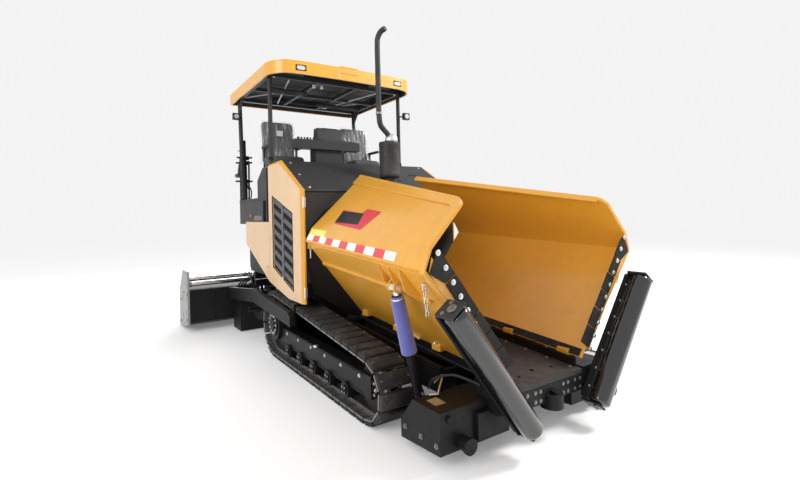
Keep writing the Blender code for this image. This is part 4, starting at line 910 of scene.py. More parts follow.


# ------------------------------------------------------------------ louvre doors
# Pressed steel doors with a folded front edge, a framed cooling louvre of slanted blades either side of a
# middle bar, a flush latch and two hinge plates. Doors and edge are one yellow paint: the flat skin is drawn
# in a paler copy (painted light), the folded edge in a darker copy (painted shade), and a black sheet behind
# the blades is painted shade.
CREST_Y, CREST_Z = 0.39 - MID, 2.475   # where the sloping nose of the doors and hood meets their top
NOSE_Z = 2.07                          # height of the nose's lower edge
BLADE = paint("blade_grey", (0.085, 0.085, 0.09), 0.5, dust=0.1, coat=0.0, gloss=0.3)
# A flat black sheet filling the louvre openings: painted shade of the space behind the blades.
LOUVRE_SHADE_SHEET = matt("louvre_painted_shade", (0.006, 0.006, 0.006), 0.9, dusty=0.0)
DOOR_X = 1.11
louvre = [(-0.035 - MID, 0.91), (0.665 - MID, 1.135), (0.665 - MID, 2.045), (-0.035 - MID, 1.815)]
for label, side in SIDES.items():
    body = "louvre_door_" + label
    low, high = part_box(body)
    y0, y1 = low.y, high.y

    def door_spot(a, b, c, side=side):
        return Vector((side * c, a, b))

    skin = bmesh.new()
    edge = 0.042
    shape = [(y0 + edge, 0.800), (y0 + edge, NOSE_Z + 0.018), (CREST_Y + 0.006, CREST_Z - 0.036),
             (y1, 2.465 - 0.025),
             (y1, 0.925), (0.13 - MID, 0.800)]
    add_plate(skin, shape, 0.040, lambda a, b, c: door_spot(a, b, DOOR_X - 0.040 + c))
    # The skin takes the paler copy of the yellow paint, painted light.
    panel = piece("door_skin_" + label, skin, PALE_LIT_YELLOW, body, bevel=0.006, segments=3)
    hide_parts(body)
    opening = bmesh.new()
    add_plate(opening, louvre, 0.2, lambda a, b, c: door_spot(a, b, DOOR_X - 0.026 + c))
    cut(panel, opening)
    trim = bmesh.new()
    fold = [(y0, 0.800), (y0 + edge + 0.004, 0.800), (y0 + edge + 0.004, NOSE_Z + 0.016),
            (CREST_Y + 0.008, CREST_Z - 0.038), (y1, 2.465 - 0.027), (y1, 2.465),
            (CREST_Y, CREST_Z), (y0, NOSE_Z)]
    add_plate(trim, fold, 0.044, lambda a, b, c: door_spot(a, b, DOOR_X - 0.045 + c))
    for vert in trim.verts:
        if abs(vert.co.x) > DOOR_X - 0.003 and (vert.co.y < y0 + 0.001 or vert.co.z > 2.455):
            vert.co.x = side * (DOOR_X - 0.024)
    # The folded edge takes the darker copy of the yellow paint, painted shade.
    piece("door_edge_" + label, trim, SHADED_YELLOW, body, bevel=0.004, segments=3)

    # The black sheet behind the blades is painted shade of the space inside.
    backing = bmesh.new()
    add_plate(backing, louvre, 0.006, lambda a, b, c: door_spot(a, b, DOOR_X - 0.0262 + c))
    piece("louvre_back_" + label, backing, LOUVRE_SHADE_SHEET, body)
    blades = bmesh.new()
    a0, a1 = louvre[0][0] + 0.010, louvre[1][0] - 0.010
    count = 7
    for i in range(count):
        share = (i + 0.62) / count
        z_front = louvre[0][1] + (louvre[3][1] - louvre[0][1]) * share
        z_rear = louvre[1][1] + (louvre[2][1] - louvre[1][1]) * share
        corners = [(a0, z_front - 0.026), (a1, z_rear - 0.026), (a1, z_rear + 0.026), (a0, z_front + 0.026)]
        add_plate(blades, corners, 0.018, lambda a, b, c: door_spot(a, b, DOOR_X - 0.0225 + c))
    for vert in blades.verts:
        middle = louvre[0][1] + (vert.co.y - louvre[0][0]) / (louvre[1][0] - louvre[0][0]) * (
            louvre[1][1] - louvre[0][1])
        phase = ((vert.co.z - middle) / ((louvre[3][1] - louvre[0][1]) / count) - 0.62) % 1.0
        if phase < 0.5 and abs(vert.co.x) > DOOR_X - 0.01:
            vert.co.x = side * (DOOR_X - 0.017)
    piece("louvre_blades_" + label, blades, BLADE, body, bevel=0.002)
    frame_bar = bmesh.new()
    mid_y = (louvre[0][0] + louvre[1][0]) / 2
    bar = [(mid_y - 0.030, 1.02), (mid_y + 0.030, 1.04), (mid_y + 0.030, 1.935), (mid_y - 0.030, 1.915)]
    add_plate(frame_bar, bar, 0.020, lambda a, b, c: door_spot(a, b, DOOR_X - 0.022 + c))
    piece("louvre_bar_" + label, frame_bar, BLADE, body, bevel=0.003)
    rim = bmesh.new()
    for (p, q) in zip(louvre, louvre[1:] + louvre[:1]):
        add_rod(rim, door_spot(*p, DOOR_X + 0.0005), door_spot(*q, DOOR_X + 0.0005), 0.0045, 8)
    piece("louvre_seal_" + label, rim, RUBBER, body, smooth=60)
    fittings = bmesh.new()
    latch_y, latch_z = y1 - 0.040, 1.545
    add_rod(fittings, door_spot(latch_y, latch_z, DOOR_X - 0.002),
            door_spot(latch_y, latch_z, DOOR_X + 0.008), 0.024, 20)
    add_box(fittings,
            door_spot(latch_y - 0.014, latch_z - 0.055, DOOR_X - 0.002 if side > 0 else DOOR_X + 0.010),
            door_spot(latch_y + 0.014, latch_z + 0.055, DOOR_X + 0.010 if side > 0 else DOOR_X - 0.002))
    for z in (0.93, 1.93):
        add_side_box(fittings, side, (1.060, y0 - 0.006, z - 0.055), (1.084, y0 + 0.010, z + 0.055))
        add_rod(fittings, (side * 1.088, y0 - 0.008, z - 0.062), (side * 1.088, y0 - 0.008, z + 0.062),
                0.010, 14)
    add_box(fittings, door_spot(mid_y - 0.02, 1.000, DOOR_X - 0.01 if side > 0 else DOOR_X + 0.004),
            door_spot(mid_y + 0.03, 1.045, DOOR_X + 0.004 if side > 0 else DOOR_X - 0.01))
    piece("door_fittings_" + label, fittings, ZINC, body, bevel=0.002)

    # The rear side panel's quarter-turn lock.
    low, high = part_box("side_panel_" + label)
    lock = bmesh.new()
    add_rod(lock, (side * (DOOR_X - 0.004), low.y + 0.06, 1.12),
            (side * (DOOR_X + 0.006), low.y + 0.06, 1.12), 0.012, 16)
    piece("side_panel_lock_" + label, lock, CAST, "machine", bevel=0.001)


# ------------------------------------------------------------------ hood
# One folded engine cover: a sloping nose with four grips and a row of bolts either side, a flat
# lid, and black strips over the joints across its front.
low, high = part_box("hood")
cover = bmesh.new()
wall_outline = [(low.y, low.z), (low.y, NOSE_Z), (CREST_Y, CREST_Z), (high.y, CREST_Z), (high.y, low.z)]
add_plate(cover, wall_outline, high.x - low.x, lambda a, b, c: Vector((low.x + c, a, b)))
hood_shell = piece("hood_cover", cover, GREY, "machine", bevel=0.010, segments=3)
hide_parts("hood")
inside = bmesh.new()
hollow = [(low.y + 0.02, 0.9), (low.y + 0.02, 2.05), (0.395 - MID, 2.455), (high.y - 0.02, 2.455),
          (high.y - 0.02, 0.9)]
add_plate(inside, hollow, high.x - low.x - 0.04, lambda a, b, c: Vector((low.x + 0.02 + c, a, b)))
cut(hood_shell, inside)
hood_slope = (CREST_Z - NOSE_Z) / (CREST_Y - low.y)


def on_nose(x, share, lift=0.0):
    """A point on the hood's sloping nose: share 0 at its lower edge, 1 at the lid."""
    y = low.y + (CREST_Y - low.y) * share
    lean = math.atan(hood_slope)
    return Vector((x, y - lift * math.sin(lean), NOSE_Z + (y - low.y) * hood_slope + lift * math.cos(lean)))


joint_line = bmesh.new()
add_box(joint_line, (low.x + 0.01, low.y - 0.004, 2.046), (high.x - 0.01, low.y + 0.002, 2.062))
for x in (-0.55, 0.0, 0.55):
    add_box(joint_line, (x - 0.004, low.y - 0.003, 1.10), (x + 0.004, low.y + 0.002, 2.045))
piece("hood_joint_strips", joint_line, BLACK, "machine", bevel=0.001)
grips = bmesh.new()
for x in (-0.42, 0.72):
    add_rod(grips, on_nose(x - 0.065, 0.62, 0.001), on_nose(x + 0.065, 0.62, 0.001), 0.012, 12)
for x in (0.40, 0.78):
    add_rod(grips, on_nose(x - 0.03, 0.40, 0.001), on_nose(x + 0.03, 0.40, 0.001), 0.010, 12)
piece("hood_grips", grips, PLASTIC, "machine", bevel=0.002)
hood_bolts = bmesh.new()
for side in SIDES.values():
    for share in (0.08, 0.5, 0.92):
        add_bolt(hood_bolts, on_nose(side * 0.98, share, 0.0), (0, -hood_slope, 1), 0.010)
piece("hood_bolts", hood_bolts, ZINC, "machine", bevel=0.001)


# ------------------------------------------------------------------ exhaust
# A rolled silencer with seamed ends on a flange, a bright elbow cap and a clamped tail pipe
# that steps sideways and bends forward at its tip.
HEAT = matt("silencer_heat_paint", (0.026, 0.026, 0.027), 0.5, spots=0.15, grain=0.0001, dusty=0.15)
ex, ey = 0.20, -0.10 - MID
profile = [(0.060, 2.20), (0.060, 2.235), (0.118, 2.250), (0.130, 2.262), (0.135, 2.275), (0.135, 2.30),
           (0.1325, 2.31), (0.1325, 2.66), (0.135, 2.67), (0.135, 2.695), (0.128, 2.712), (0.060, 2.722),
           (0.050, 2.76), (0.0, 2.76)]
silencer = turned(profile)
open_rim = [e for e in silencer.edges if e.is_boundary]
bmesh.ops.holes_fill(silencer, edges=open_rim)
bmesh.ops.translate(silencer, verts=silencer.verts[:], vec=(ex, ey, 0))
silencer_obj = piece("exhaust_silencer", silencer, HEAT, "machine", smooth=40)
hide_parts("exhaust")
route = [(ex, ey, 2.70), (ex, ey, 2.77), (ex - 0.02, ey, 2.82), (ex - 0.08, ey - 0.008, 2.87),
         (ex - 0.135, ey - 0.014, 2.93), (ex - 0.155, ey - 0.02, 3.03), (ex - 0.16, ey - 0.02, 3.20),
         (ex - 0.16, ey - 0.02, 3.60), (ex - 0.16, ey - 0.02, 3.95), (ex - 0.155, ey - 0.032, 4.04),
         (ex - 0.135, ey - 0.070, 4.105), (ex - 0.11, ey - 0.14, 4.13)]
pipe("exhaust_tail_pipe", route, 0.035, HEAT, "machine", steps=8, sides=5)
collars = bmesh.new()
add_rod(collars, (ex, ey, 2.755), (ex, ey, 2.785), 0.044, 32)
add_rod(collars, (ex - 0.16, ey - 0.02, 3.06), (ex - 0.16, ey - 0.02, 3.085), 0.038, 32)
add_bolt(collars, (ex + 0.044, ey, 2.770), (1, 0, 0), 0.008)
piece("exhaust_clamps", collars, CAST, "machine", bevel=0.002)
elbow = bmesh.new()
elbow_at = Matrix.Translation((ex + 0.028, ey - 0.01, 2.745))
bmesh.ops.create_uvsphere(elbow, u_segments=28, v_segments=16, radius=0.085,
                          matrix=elbow_at @ Matrix.Diagonal((1, 1, 0.9, 1)))
piece("exhaust_elbow", elbow, ZINC, "machine", smooth=60)
foot_plate = bmesh.new()
spot = on_nose(ex, (ey - low.y) / (CREST_Y - low.y), 0.0)
add_rod(foot_plate, spot, spot + Vector((0, 0, 0.07)), 0.075, 28)
piece("exhaust_foot", foot_plate, HEAT, "machine", bevel=0.004)


# ------------------------------------------------------------------ canopy
# A moulded roof skin with rounded corners, a dark lined underside, two lamps let into the front
# rim and a joint with a raised lid; the square-tube frame below carries lamps and rolled blinds.
LINER = matt("liner_charcoal", (0.028, 0.028, 0.030), 0.75, grain=0.0004, dusty=0.12)
BRIGHT = matt("lamp_lens_white", (0.50, 0.50, 0.49), 0.25, spots=0.04, grain=0.00005, dusty=0.0)
PALE = paint("pale_grey_strut", (0.42, 0.42, 0.42), 0.45, dust=0.1, coat=0.1)
roof_low, roof_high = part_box("canopy_roof")
roof_half, nose_y = roof_high.x, 0.50 - MID


def roof_outline(inset):
    """Half-rounded plan of the roof, drawn in by inset, from one rear corner to the other."""
    rear = [(roof_half - inset, roof_high.y - inset)]
    side_front = smooth_path([(roof_half - inset, 0.95 - MID, 0), (roof_half - inset - 0.004, 0.80 - MID, 0),
                              (1.045 - inset, 0.655 - MID + inset * 0.5, 0), (0.93 - inset * 0.6,
                                                                              nose_y + 0.055 + inset, 0),
                              (0.74, nose_y + 0.018 + inset, 0), (0.30, nose_y + 0.001 + inset, 0)], 6)
    one = rear + [(p.x, p.y) for p in side_front]
    return one + [(-x, y) for x, y in reversed(one)]


def roof_solid(inset, z0, z1):
    bm = bmesh.new()
    add_plate(bm, roof_outline(inset), z1 - z0, lambda a, b, c: Vector((a, b, z0 + c)))
    return bm


shell = piece("canopy_shell", roof_solid(0.0, roof_low.z, roof_high.z), YELLOW, "machine",
              bevel=0.026, segments=4, smooth=50)
cut(shell, roof_solid(0.024, roof_low.z - 0.1, roof_high.z - 0.024))
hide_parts("canopy_roof")
lining = piece("canopy_liner", roof_solid(0.0245, roof_low.z + 0.008, roof_high.z - 0.0245), LINER, "machine")
cut(lining, roof_solid(0.028, roof_low.z - 0.1, roof_high.z - 0.034))
rim_lamps = bmesh.new()
lenses = bmesh.new()
for x in (-0.737, 0.77):
    opening = bmesh.new()
    add_box(opening, (x - 0.075, nose_y - 0.1, 3.672), (x + 0.075, nose_y + 0.033, 3.752))
    cut(shell, opening)
    add_box(rim_lamps, (x - 0.070, nose_y + 0.026, 3.676), (x + 0.070, nose_y + 0.050, 3.748))
    oval = arc((x + 0.032, 3.712), 0.026, -90, 90, 10) + arc((x - 0.032, 3.712), 0.026, 90, 270, 10)
    add_plate(lenses, oval, 0.012, lambda a, b, c: Vector((a, nose_y + 0.017 + c, b)))
piece("canopy_lamp_bezels", rim_lamps, PLASTIC, "machine", bevel=0.003)
piece("canopy_lamp_lenses", lenses, BRIGHT, "machine", bevel=0.002)
lid = bmesh.new()
add_box(lid, (-0.181, nose_y - 0.006, roof_high.z - 0.010), (0.089, roof_high.y - 0.35, roof_high.z + 0.016))
add_box(lid, (-0.181, nose_y - 0.006, roof_high.z - 0.085), (0.089, nose_y + 0.012, roof_high.z + 0.008))
piece("canopy_lid", lid, YELLOW, "machine", bevel=0.005, segments=3)
joint = bmesh.new()
add_box(joint, (-0.193, nose_y - 0.0015, roof_low.z + 0.004), (-0.184, nose_y + 0.02, roof_high.z - 0.012))
piece("canopy_joint_seal", joint, BRIGHT, "machine")

frame_z, post_x = roof_low.z + 0.03, 1.03
front_y0, rear_y0 = 0.912 - MID, 2.669 - 0.25 - MID
under = bmesh.new()
for x in (-0.72, 0.72):
    add_rod(under, (x, front_y0 + 0.10, frame_z + 0.020),
            (x - 0.30 * (1 if x > 0 else -1), rear_y0 - 0.06, frame_z + 0.020), 0.012, 10)
    add_rod(under, (x + 0.1, 1.72 - MID, frame_z + 0.022), (x - 0.34, rear_y0 - 0.04, frame_z + 0.022),
            0.010, 10)
add_box(under, (-post_x, rear_y0 - 0.012, frame_z - 0.012), (post_x, rear_y0 + 0.012, frame_z - 0.003))
piece("canopy_struts", under, PALE, "machine", bevel=0.001)
blinds = bmesh.new()
for y, x0, x1 in ((1.40 - MID, -0.86, -0.30), (1.96 - MID, 0.10, 0.86)):
    add_rod(blinds, (x0, y, frame_z - 0.034), (x1, y, frame_z - 0.034), 0.032, 16)
piece("canopy_blinds", blinds, LINER, "machine", bevel=0.006)
spot_lamps = bmesh.new()
for x in (-0.36, -0.24):
    add_rod(spot_lamps, (x, 0.99 - MID, frame_z - 0.005), (x, 0.99 - MID, frame_z - 0.050), 0.024, 18)
piece("canopy_spot_lamps", spot_lamps, BRIGHT, "machine", bevel=0.004)
frame_bolts = bmesh.new()
for side in SIDES.values():
    for y, z in ((rear_y0 - 0.20, frame_z - 0.004), (rear_y0 - 0.11, frame_z - 0.030),
                 (rear_y0 - 0.03, frame_z - 0.14)):
        add_bolt(frame_bolts, (side * (post_x + 0.0065), y, z), (side, 0, 0), 0.009)
    for y in (front_y0, rear_y0):
        add_bolt(frame_bolts, (side * (post_x - 0.06), y, frame_z), (0, 0, -1), 0.010)
piece("canopy_bolts", frame_bolts, ZINC, "machine", bevel=0.001)

for label, side in SIDES.items():
    lamps = bmesh.new()
    glass = bmesh.new()
    mounts = [(rear_y0 - 0.10, 3.37)] if side < 0 else [(front_y0 - 0.02, 3.32)]
    for y, z in mounts:
        x = side * (post_x + 0.10)
        box = [(x - 0.052, z - 0.052), (x + 0.052, z - 0.052), (x + 0.052, z + 0.052), (x - 0.052, z + 0.052)]
        add_plate(lamps, box, 0.060, lambda a, b, c, y=y: Vector((a, y - 0.085 + c, b)))
        add_rod(glass, (x, y - 0.088, z), (x, y - 0.083, z), 0.036, 24)
        add_rod(lamps, (x, y - 0.03, z), (side * post_x, y + 0.01, z), 0.012, 12)
    piece("work_lamps_" + label, lamps, PLASTIC, "machine", bevel=0.006, segments=3)
    piece("work_lamp_glass_" + label, glass, BRIGHT, "machine", bevel=0.002)
    clamps = bmesh.new()
    for z in (2.30, 2.56):
        add_rod(clamps, (side * post_x, front_y0, z - 0.022), (side * post_x, front_y0, z + 0.022), 0.037, 20)
        add_bolt(clamps, (side * (post_x + 0.036), front_y0, z), (side, 0, 0), 0.008)
    piece("post_clamps_" + label, clamps, BLACK, "machine", bevel=0.002)


# ------------------------------------------------------------------ console
# The control desk carries two rows of turning knobs on its ledge and a blank glass screen let
# into its head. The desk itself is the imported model's.
SCREEN = Finish("blank_screen", (0.012, 0.014, 0.016), 0.12, Coat_Weight=0.6).material
desk_low, desk_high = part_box("control_console")
knobs = bmesh.new()
for i in range(9):
    x = desk_low.x + 0.06 + i * 0.045
    add_rod(knobs, (x, desk_low.y + 0.035, desk_high.z - 0.192), (x, desk_low.y + 0.035, desk_high.z - 0.158),
            0.012 if i % 3 else 0.018, 14)
for i in range(6):
    x = desk_high.x - 0.05 - i * 0.04
    add_rod(knobs, (x, desk_low.y + 0.075, desk_high.z - 0.192),
            (x, desk_low.y + 0.075, desk_high.z - 0.165), 0.010, 14)
piece("console_knobs", knobs, PLASTIC, "machine", bevel=0.003)
screen = bmesh.new()
add_box(screen, (-0.24, desk_low.y + 0.07, desk_high.z - 0.004),
        (0.0, desk_low.y + 0.14, desk_high.z + 0.003))
piece("console_screen", screen, SCREEN, "machine", bevel=0.002)


# ------------------------------------------------------------------ seats
# Foam seats on plastic-clad stands: a padded cushion and backrest with rounded edges and sewn
# channels, and armrests, with a loose clear cover over the back that hangs in upright folds.
WRAP = Finish("clear_wrap", (0.85, 0.87, 0.88), 0.18, Alpha=0.16, Coat_Weight=0.5)
wrap_fold = WRAP.noise(5.0, 3, 0.5, WRAP.stretched(6, 2, 0.7))
WRAP.plug(WRAP.shader.inputs["Alpha"], wrap_fold.over(0.50, 0.16) * 0.30 + 0.06)
WRAP.bumps(wrap_fold, 0.03, 0.9)
FOAM = matt("seat_cloth_grey", (0.085, 0.085, 0.088), 0.8, spots=0.25, grain=0.0004, scale=600.0, dusty=0.05)
LABEL = steel("foil_patch", (0.70, 0.71, 0.72), 0.3)
DECK_Z, SEAT_FRONT = 2.05, 1.24 - MID


def cushion(name, low, high, material, puff, body="machine", lean=0.0, seams=()):
    """A stuffed block: rounded edges, a crown on its main face and sewn valleys at the seams."""
    low, high = Vector(low), Vector(high)
    size = high - low
    bm = bmesh.new()
    add_box(bm, low, high)
    bmesh.ops.subdivide_edges(bm, edges=bm.edges[:], cuts=13, use_grid_fill=True)
    middle = (low + high) / 2
    thin = min(range(3), key=lambda i: size[i])
    corner = size[thin] * 0.42
    for vert in bm.verts:
        core = Vector([min(max(vert.co[i], low[i] + corner), high[i] - corner) for i in range(3)])
        away = vert.co - core
        if away.length > corner:
            vert.co = core + away.normalized() * corner
        share = [2 * (vert.co[i] - middle[i]) / size[i] for i in range(3)]
        wide = [i for i in range(3) if i != thin]
        crown = (1 - share[wide[0]] ** 2) * (1 - share[wide[1]] ** 2)
        push = crown * puff
        for axis, at in seams:
            push -= math.exp(-((vert.co[axis] - at) / 0.010) ** 2) * puff * 0.9 * min(crown * 4, 1)
        vert.co[thin] += push * (1 if share[thin] > 0 else -0.3)
        vert.co.y += lean * (vert.co.z - low.z)
    obj = piece(name, bm, material, body, smooth=180)
    soft = obj.modifiers.new("smooth", "SUBSURF")
    soft.levels = soft.render_levels = 1
    return obj


for label, side in SIDES.items():
    x, half_w, z0 = side * 0.65, 0.24, DECK_Z + 0.62
    y0 = SEAT_FRONT
    base = cushion("seat_cushion_" + label, (x - half_w, y0, z0 - 0.15), (x + half_w, y0 + 0.46, z0 - 0.018),
                   FOAM, 0.018,
                   seams=((0, x - 0.15), (0, x + 0.15)))
    cushion("seat_back_" + label, (x - half_w, y0 + 0.385, z0 - 0.03), (x + half_w, y0 + 0.515, z0 + 0.555),
                           FOAM, 0.020, lean=0.13, seams=((0, x - 0.15), (0, x + 0.15), (2, z0 + 0.30)))
    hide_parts("seat_" + label)
    stand = bmesh.new()
    add_box(stand, (x - 0.16, y0 + 0.14, DECK_Z + 0.0003), (x + 0.16, y0 + 0.42, z0 - 0.145))
    for arm_x in (x - half_w - 0.015, x + half_w + 0.015):
        add_box(stand, (arm_x - 0.022, y0 + 0.10, z0 + 0.120), (arm_x + 0.022, y0 + 0.43, z0 + 0.160))
        add_box(stand, (arm_x - 0.012, y0 + 0.36, z0 - 0.07), (arm_x + 0.012, y0 + 0.42, z0 + 0.125))
    piece("seat_stand_" + label, stand, PLASTIC, "machine", bevel=0.010, segments=3)
    cover = bmesh.new()
    bmesh.ops.create_circle(cover, cap_ends=True, radius=1, segments=48)
    edges = [e for e in cover.edges if e.is_boundary]
    for level in range(14):
        grown = bmesh.ops.extrude_edge_only(cover, edges=edges)["geom"]
        edges = [item for item in grown if isinstance(item, bmesh.types.BMEdge)]
        lowered = [item for item in grown if isinstance(item, bmesh.types.BMVert)]
        bmesh.ops.translate(cover, verts=lowered, vec=(0, 0, -0.047))
    for vert in cover.verts:
        drop = -vert.co.z
        angle = math.atan2(vert.co.y, vert.co.x)
        fold = 0.010 * math.sin(angle * 9 + drop * 4 + side) * min(drop / 0.2, 1)
        grow = 0.012 + fold + 0.04 * drop
        across = math.copysign(abs(math.cos(angle)) ** 0.35, math.cos(angle)) * (0.235 + grow)
        ahead = math.copysign(abs(math.sin(angle)) ** 0.35, math.sin(angle)) * (0.075 + grow)
        z = z0 + 0.565 - drop
        vert.co = (x + across, y0 + 0.45 + 0.13 * (z - z0) + ahead, z)
    wrap_area = sum(face.calc_area() for face in cover.faces)
    bag = piece("seat_wrap_" + label, cover, WRAP.material, "machine", smooth=180)
    wrap_area / 0.70
patch = bmesh.new()
add_box(patch, (-0.70, SEAT_FRONT + 0.398, 3.00), (-0.60, SEAT_FRONT + 0.402, 3.08))
piece("seat_foil_patch", patch, LABEL, "machine")


# ------------------------------------------------------------------ tracks
# Rubber-padded shoes bolted to forged links round the idler and the sprocket. Each shoe is a
# steel plate with a moulded pad; the links are two bands beneath them.
PAD = matt("track_pad_rubber", (0.020, 0.020, 0.021), 0.8, spots=0.35, grain=0.0010, dusty=0.16)
idler = (-1.705 - MID, 0.295)
sprocket = (0.64 - MID, 0.42)
link_line = 0.055                      # depth of the shoes' seats below the wheels' rims
SHOES = 44
span = (sprocket[0] - idler[0], sprocket[1] - idler[1])
span_length = math.hypot(*span)
lift = math.asin((sprocket[1] - idler[1]) / span_length)
top_angle = math.atan2(span[1], span[0]) + math.pi / 2 + lift
straight = span_length * math.cos(lift)
arcs = [(1.5 * math.pi - top_angle) * (idler[1] - link_line), straight,
        (top_angle + math.pi / 2) * (sprocket[1] - link_line), straight]


def loop_spot(share):
    """Place and outward angle on the shoes' seat line, at a share of the way round."""
    run = (share % 1.0) * sum(arcs)
    if run < arcs[0]:
        angle = top_angle + run / (idler[1] - link_line)
        return idler, angle, idler[1] - link_line
    run -= arcs[0]
    if run < arcs[1]:
        return (idler[0] + run, idler[1]), -math.pi / 2, idler[1] - link_line
    run -= arcs[1]
    if run < arcs[2]:
        return sprocket, -math.pi / 2 + run / (sprocket[1] - link_line), sprocket[1] - link_line
    run -= arcs[2]
    back = (sprocket[0] - math.sin(top_angle) * run, sprocket[1] + math.cos(top_angle) * run)
    return back, top_angle, sprocket[1] - link_line


def loop_point(share, lift_by=0.0):
    centre, angle, radius = loop_spot(share)
    return Vector((0, centre[0] + math.cos(angle) * (radius + lift_by),
                   centre[1] + math.sin(angle) * (radius + lift_by)))


for label, side in SIDES.items():
    low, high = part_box("track_" + label)
    mid_x, wide = (low.x + high.x) / 2, high.x - low.x
    pads, plates, heads = bmesh.new(), bmesh.new(), bmesh.new()
    for i in range(SHOES):
        a, b = loop_point((i + 0.07) / SHOES), loop_point((i + 0.93) / SHOES)
        along = (b - a).normalized()
        out = Vector((0, along.z, -along.y))
        turn = Matrix((Vector((1, 0, 0)), along, out)).transposed().to_4x4()
        if turn.determinant() < 0:
            turn = Matrix((Vector((-1, 0, 0)), along, out)).transposed().to_4x4()
        seat = Matrix.Translation(Vector((mid_x, 0, 0)) + (a + b) / 2) @ turn
        block = bmesh.new()
        bmesh.ops.create_cube(block, size=1, matrix=Matrix.Diagonal((wide - 0.006, (b - a).length, 0.041, 1)))
        bmesh.ops.translate(block, verts=block.verts[:], vec=(0, 0, 0.0340))
        bmesh.ops.bevel(block, geom=block.edges[:], offset=0.009, segments=2, profile=0.5, affect="EDGES",
                        material=-1)
        bmesh.ops.transform(block, matrix=seat, verts=block.verts[:])
        merge_into(pads, block)
        size = Matrix.Diagonal((wide, (b - a).length * 1.03, 0.016, 1))
        bmesh.ops.create_cube(plates, size=1, matrix=seat @ Matrix.Translation((0, 0, 0.006)) @ size)
        for x in (-0.5 * wide + 0.028, 0.5 * wide - 0.028):
            spot = seat @ Vector((x, 0, 0.053))
            add_rod(heads, spot, spot + out * 0.0016, 0.010, 10)
    piece("track_pads_" + label, pads, PAD, "machine", smooth=50)
    shoes = piece("track_shoes_" + label, plates, CAST, "machine", bevel=0.002)
    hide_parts("track_" + label)
    piece("track_pad_bolts_" + label, heads, CAST, "machine")
    band = bmesh.new()
    rounds = 160
    for x0, x1 in ((mid_x - 0.075, mid_x - 0.035), (mid_x + 0.035, mid_x + 0.075)):
        rings = []
        for depth in (-0.002, -0.034):
            for x in (x0, x1):
                rings.append([band.verts.new(loop_point(k / rounds,
                                                        depth) + Vector((x, 0, 0))) for k in range(rounds)])
        edge_sets = [[band.edges.new((ring[k],
                                      ring[(k + 1) % rounds])) for k in range(rounds)] for ring in rings]
        for one, other in ((0, 1), (1, 3), (3, 2), (2, 0)):
            bmesh.ops.bridge_loops(band, edges=edge_sets[one] + edge_sets[other])
    piece("track_links_" + label, band, CAST, "machine", smooth=40)

    # Wheel hubs, roller caps, the frame's bolts and edge bars, and a grease cap on its top.
    hubs, fasteners = bmesh.new(), bmesh.new()
    outer_x = side * (1.144 - 0.16)
    for y, z, reach, radius, count in ((*idler, 0.075, 0.075, 6), (*sprocket, 0.160, 0.150, 12)):
        face_x = outer_x + side * reach
        add_rod(hubs, (outer_x, y, z), (face_x, y, z), radius, 32)
        add_rod(hubs, (outer_x, y, z), (face_x + side * 0.014, y, z), radius * 0.5, 28)
        for k in range(count):
            turn_by = math.tau * k / count
            spot = (face_x, y + math.cos(turn_by) * radius * 0.76, z + math.sin(turn_by) * radius * 0.76)
            add_bolt(fasteners, spot, (side, 0, 0), 0.011)
    for i in range(5):
        y = (idler[0] + 0.42) + (sprocket[0] - 0.44 - idler[0] - 0.42) * i / 4
        add_rod(hubs, (outer_x + side * 0.128, y, 0.169), (outer_x + side * 0.142, y, 0.169), 0.044, 24)
        add_rod(hubs, (outer_x + side * 0.140, y, 0.169), (outer_x + side * 0.150, y, 0.169), 0.020, 18)
        for k in range(4):
            turn_by = math.tau * (k + 0.5) / 4
            spot = (outer_x + side * 0.142, y + math.cos(turn_by) * 0.034, 0.169 + math.sin(turn_by) * 0.034)
            add_bolt(fasteners, spot, (side, 0, 0), 0.005)
    for i in range(6):
        y = idler[0] + 0.18 + i * 0.36
        add_bolt(fasteners, (outer_x + side * 0.1003, y, 0.36), (side, 0, 0), 0.012)
    piece("track_hubs_" + label, hubs, BLACK, "machine", bevel=0.004)
    piece("track_bolts_" + label, fasteners, ZINC, "machine")
    cap = bmesh.new()
    cap_y = -0.605 - MID
    add_rod(cap, (outer_x + side * 0.11, cap_y, 0.401), (outer_x + side * 0.11, cap_y, 0.425), 0.03, 20)
    piece("track_grease_cap_" + label, cap, ZINC, "machine", bevel=0.004)
    rails = bmesh.new()
    for z in (0.225, 0.385):
        add_rod(rails, (outer_x + side * 0.1006, idler[0] + 0.12, z),
                (outer_x + side * 0.1006, sprocket[0] - 0.20, z), 0.006, 8)
    piece("track_frame_edges_" + label, rails, BLACK, "machine")


